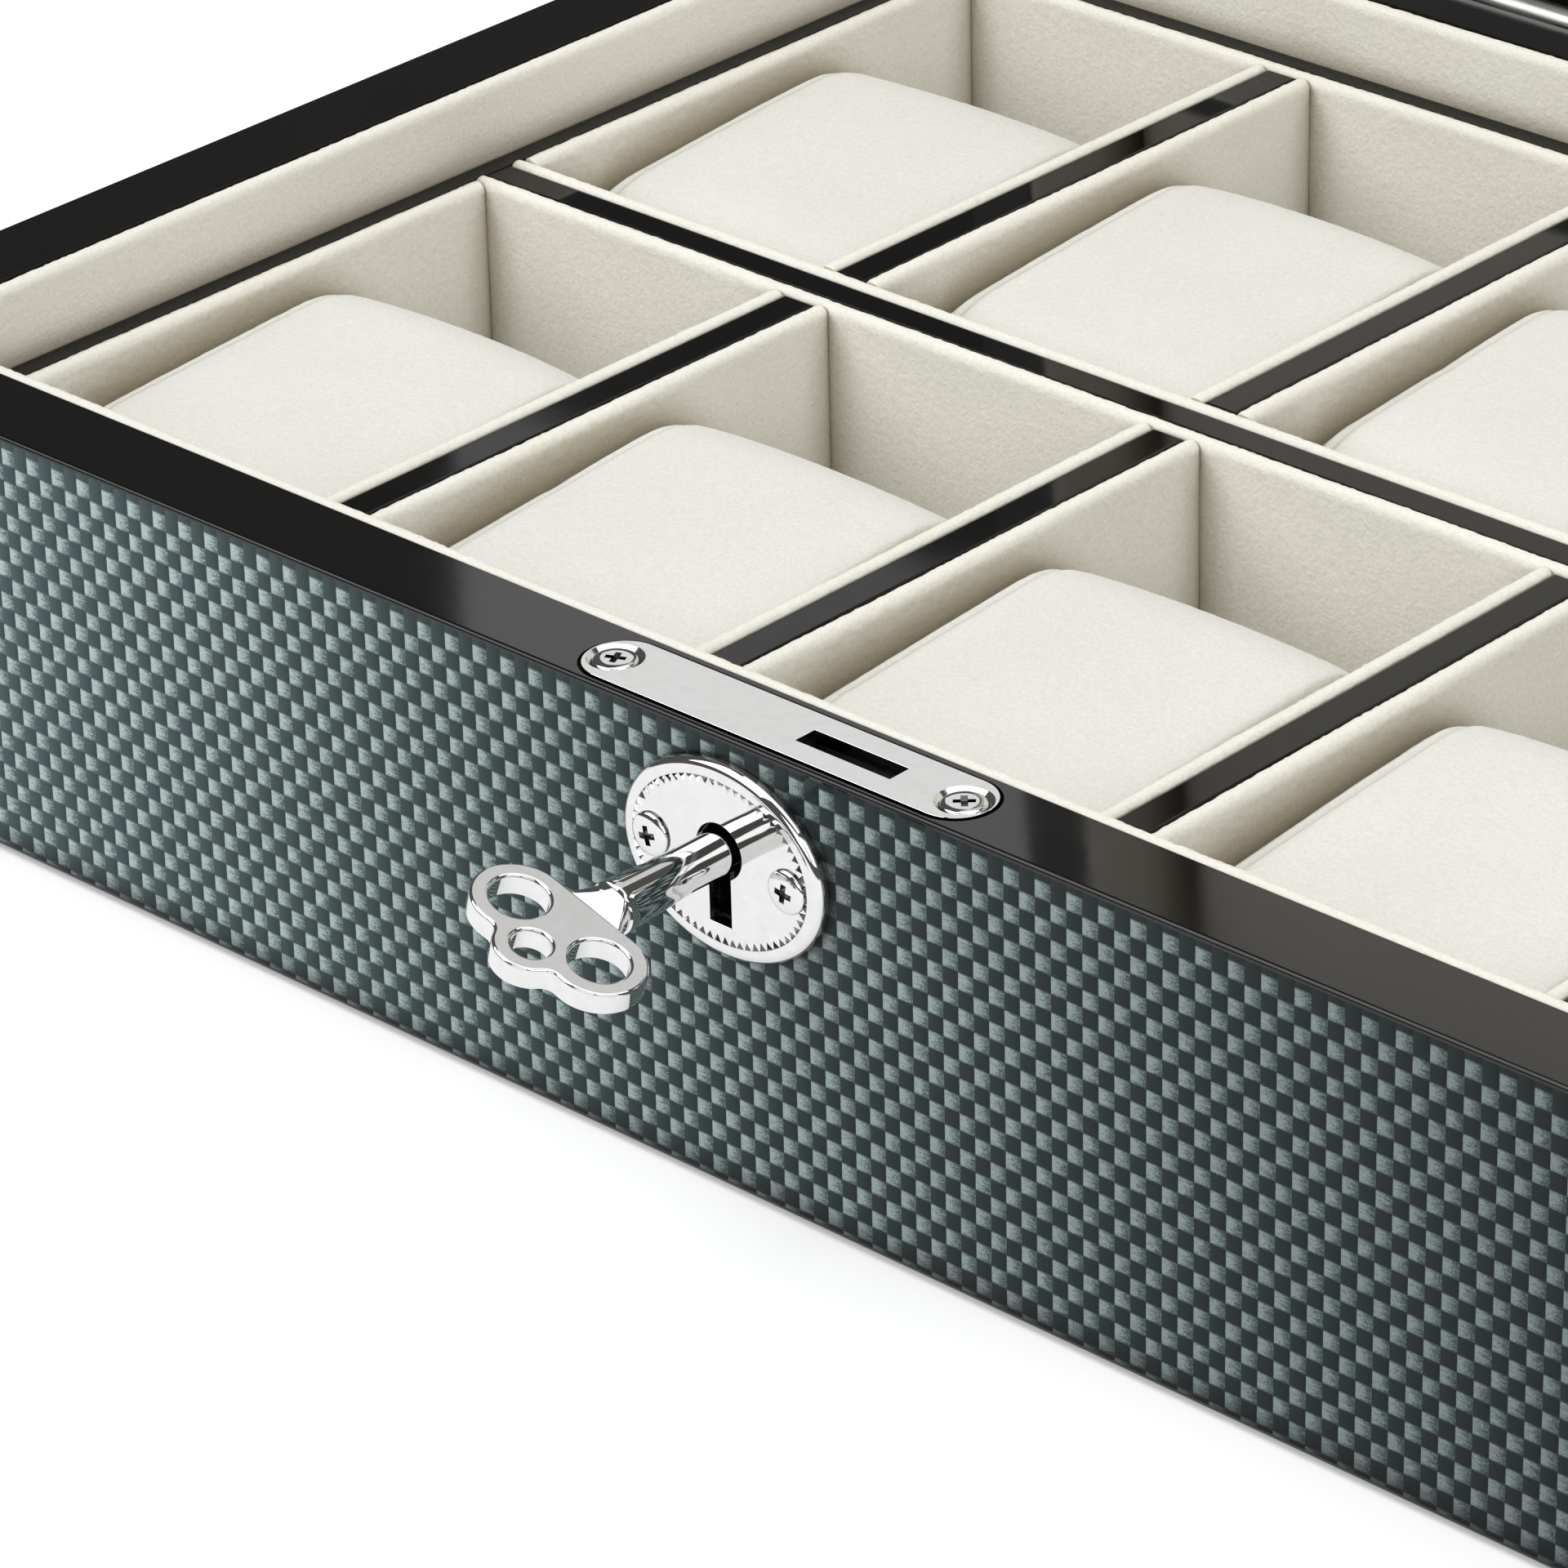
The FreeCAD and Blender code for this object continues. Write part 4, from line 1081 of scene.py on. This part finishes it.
def bead_ring(half_x, half_z, height, count):
    """Small three-sided points set evenly round an oval, each with one bright facet and two facets
    of painted shade.
    """
    radius, sunk, shoulder_up, tip_up = 0.56 * MM, 0.1 * MM, 0.02 * MM, 0.25 * MM
    steps = 2000
    angles = [2 * math.pi * i / steps for i in range(steps + 1)]
    ring = [(half_x * math.cos(a), half_z * math.sin(a)) for a in angles]
    lengths = [0.0]
    for (x0, y0), (x1, y1) in zip(ring, ring[1:]):
        lengths.append(lengths[-1] + math.hypot(x1 - x0, y1 - y0))
    bm = bmesh.new()
    k = 0
    for number in range(count):
        while lengths[k] < lengths[-1] * number / count:
            k += 1
        x, y = ring[k]
        out = math.atan2(y / half_z ** 2, x / half_x ** 2)
        base = [
            (x + radius * math.cos(out + a), y + radius * math.sin(out + a))
            for a in (math.pi, math.pi / 3, -math.pi / 3)
        ]
        foot = [bm.verts.new((bx, by, height - sunk)) for bx, by in base]
        shoulder = [bm.verts.new((bx, by, height + shoulder_up)) for bx, by in base]
        tip = bm.verts.new((x, y, height + tip_up))
        bm.faces.new(foot)
        for i in range(3):
            j = (i + 1) % 3
            bm.faces.new((foot[i], foot[j], shoulder[j], shoulder[i]))
            facet = bm.faces.new((shoulder[i], shoulder[j], tip))
            # painted shade: every facet but the third gets the dark chrome
            facet.material_index = 0 if i == 2 else 1
    return object_from_bmesh("points", bm)


RING_X, RING_OUT, RING, RING_HOLE = 5.6 * MM, 23 * MM, 5 * MM, 3.1 * MM
TIP_OUT, TIP, TIP_HOLE = 26.9 * MM, 3.9 * MM, 2.1 * MM
BOW_HALF = 1.3 * MM


def bow_outline(ease):
    """Three rings in one flat outline; X across, Y outwards from the lock, drawn inset by ease."""
    fillet = 1.5 * MM
    big, small = RING - ease, TIP - ease
    inner = fillet + ease
    dx, dy = -RING_X, TIP_OUT - RING_OUT
    apart = math.hypot(dx, dy)
    from_ring, from_tip = big + inner, small + inner
    along = (apart ** 2 + from_ring ** 2 - from_tip ** 2) / (2 * apart)
    aside = math.sqrt(from_ring ** 2 - along ** 2)
    unit = (dx / apart, dy / apart)
    centre = (
        RING_X + unit[0] * along + unit[1] * aside,
        RING_OUT + unit[1] * along - unit[0] * aside,
    )
    to_ring = math.atan2(centre[1] - RING_OUT, centre[0] - RING_X)
    to_tip = math.atan2(centre[1] - TIP_OUT, centre[0])
    right = arc_points((RING_X, RING_OUT), big, -math.pi / 2, to_ring, 40)
    right += arc_points(centre, inner, to_ring + math.pi, to_tip + math.pi, 12, clockwise=True)[1:]
    right += arc_points((0, TIP_OUT), small, to_tip, math.pi / 2, 16)[1:]
    return right + [(-x, y) for x, y in reversed(right[:-1])]


def key_bow():
    """The flat bow: a filled curve with three holes, thickened and with rounded edges."""
    ease = 0.32 * MM
    data = bpy.data.curves.new("bow", "CURVE")
    data.dimensions = "2D"
    data.fill_mode = "BOTH"
    data.extrude = BOW_HALF - ease
    data.bevel_depth = ease
    data.bevel_resolution = 3
    ring_centres = ((RING_X, RING_OUT), (-RING_X, RING_OUT))
    holes = [(centre, RING_HOLE) for centre in ring_centres] + [((0, TIP_OUT), TIP_HOLE)]
    loops = [bow_outline(ease)]
    for centre, radius in holes:
        loops.append(arc_points(centre, radius + ease, 0, 2 * math.pi, 56)[:-1])
    for loop in loops:
        spline = data.splines.new("POLY")
        spline.points.add(len(loop) - 1)
        spline.use_cyclic_u = True
        for point, (x, y) in zip(spline.points, loop):
            point.co = (x, y, 0, 1)
    source = new_object("bow", data)
    bpy.context.view_layer.update()
    graph = bpy.context.evaluated_depsgraph_get()
    mesh = bpy.data.meshes.new_from_object(source.evaluated_get(graph))
    bpy.data.objects.remove(source)
    made = new_object("bow_mesh", mesh)
    bm = bmesh.new()
    bm.from_mesh(mesh)
    bmesh.ops.remove_doubles(bm, verts=bm.verts, dist=1e-6)
    bmesh.ops.recalc_face_normals(bm, faces=bm.faces)
    bm.to_mesh(mesh)
    bm.free()
    smooth(made, 32)
    for face in mesh.polygons:
        face.use_smooth = abs(face.normal.z) < 0.999
    return made


def key_neck():
    """Flare from the round barrel to the bow's straight edge."""
    # distance out, half width, half thickness in millimetres, and how square the section is
    stations = (
        (15.2, 2.62, 2.62, 2.0),
        (15.7, 2.66, 2.5, 2.3),
        (16.2, 2.78, 2.15, 3.0),
        (16.9, 3.05, 1.7, 4.5),
        (17.6, 3.45, 1.36, 7.0),
        (18.1, 3.8, 1.2, 9.0),
        (18.9, 4.1, 1.15, 9.0),
    )

    def squared(share, power):
        return math.copysign(abs(share) ** (2 / power), share)

    angles = [2 * math.pi * i / 64 for i in range(64)]
    rings = []
    for out, half_u, half_t, power in stations:
        rings.append([
            (half_u * MM * squared(math.cos(a), power), out * MM,
             half_t * MM * squared(math.sin(a), power))
            for a in angles
        ])
    made = shell("neck", rings)
    made.data.flip_normals()
    smooth(made, 35)
    return made


def key():
    """Barrel key: drilled round barrel, bit, flared neck and a three-ring bow."""
    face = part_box("escutcheon")[0].y
    inner = (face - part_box("key")[1].y) / MM
    # radius and distance out in millimetres: up the drilled hole, over the end, out to the neck
    barrel = [(1.17, inner + 7.0), (1.17, inner + 0.12), (1.3, inner), (2.28, inner)]
    barrel += [(2.4, inner + 0.12), (2.4, 5.0), (2.43, 6.2), (2.84, 14.2), (2.9, 14.9)]
    barrel += [(2.86, 15.25), (2.66, 15.42), (2.5, 15.5)]
    tube = turned("barrel", [(r * MM, out * MM) for r, out in barrel], 96)
    tube.data.transform(Matrix.Rotation(-math.pi / 2, 4, "X"))
    smooth(tube, 35)
    plate_y = face - plate_middle.y
    root, reach, half_width, half_thick = 1.5 * MM, 5.6 * MM, 1.7 * MM, 1.0 * MM
    outline = box_outline(root, reach, plate_y - half_width, plate_y + half_width)
    bit = prism("bit", outline, -half_thick, half_thick)
    ease_edges(bit, 0.25 * MM, 3)
    made = joined("chrome_key", [tube, key_neck(), key_bow(), bit])
    lay = Matrix.Translation((KEY.x, face, KEY.z)) @ Matrix.Rotation(KEY_TILT, 4, "Y")
    made.data.transform(lay @ Matrix.Diagonal((1, -1, 1, 1)))
    made.data.flip_normals()
    finish_piece(made, "key", CHROME, "polished_chrome", "key")


def strike():
    """Screws of the hooked plate in the lid's rim, let in to clear the lock plate's."""
    sunk = Vector((0, 0, 0.2 * MM))
    places = []
    for low, high in solids("strike_screws", IN_LID):
        top = Vector(((low.x + high.x) / 2, (low.y + high.y) / 2, high.z))
        places.append(IN_LID @ (top - sunk))
    facing = IN_LID.to_3x3().to_4x4()
    dome, spins = 0.12 * MM, (15, -30)
    screws("strike_screws", "lid", places, facing, dome, RIM_SCREW_LENGTH, spins)


lock_plate()
escutcheon()
key()
strike()
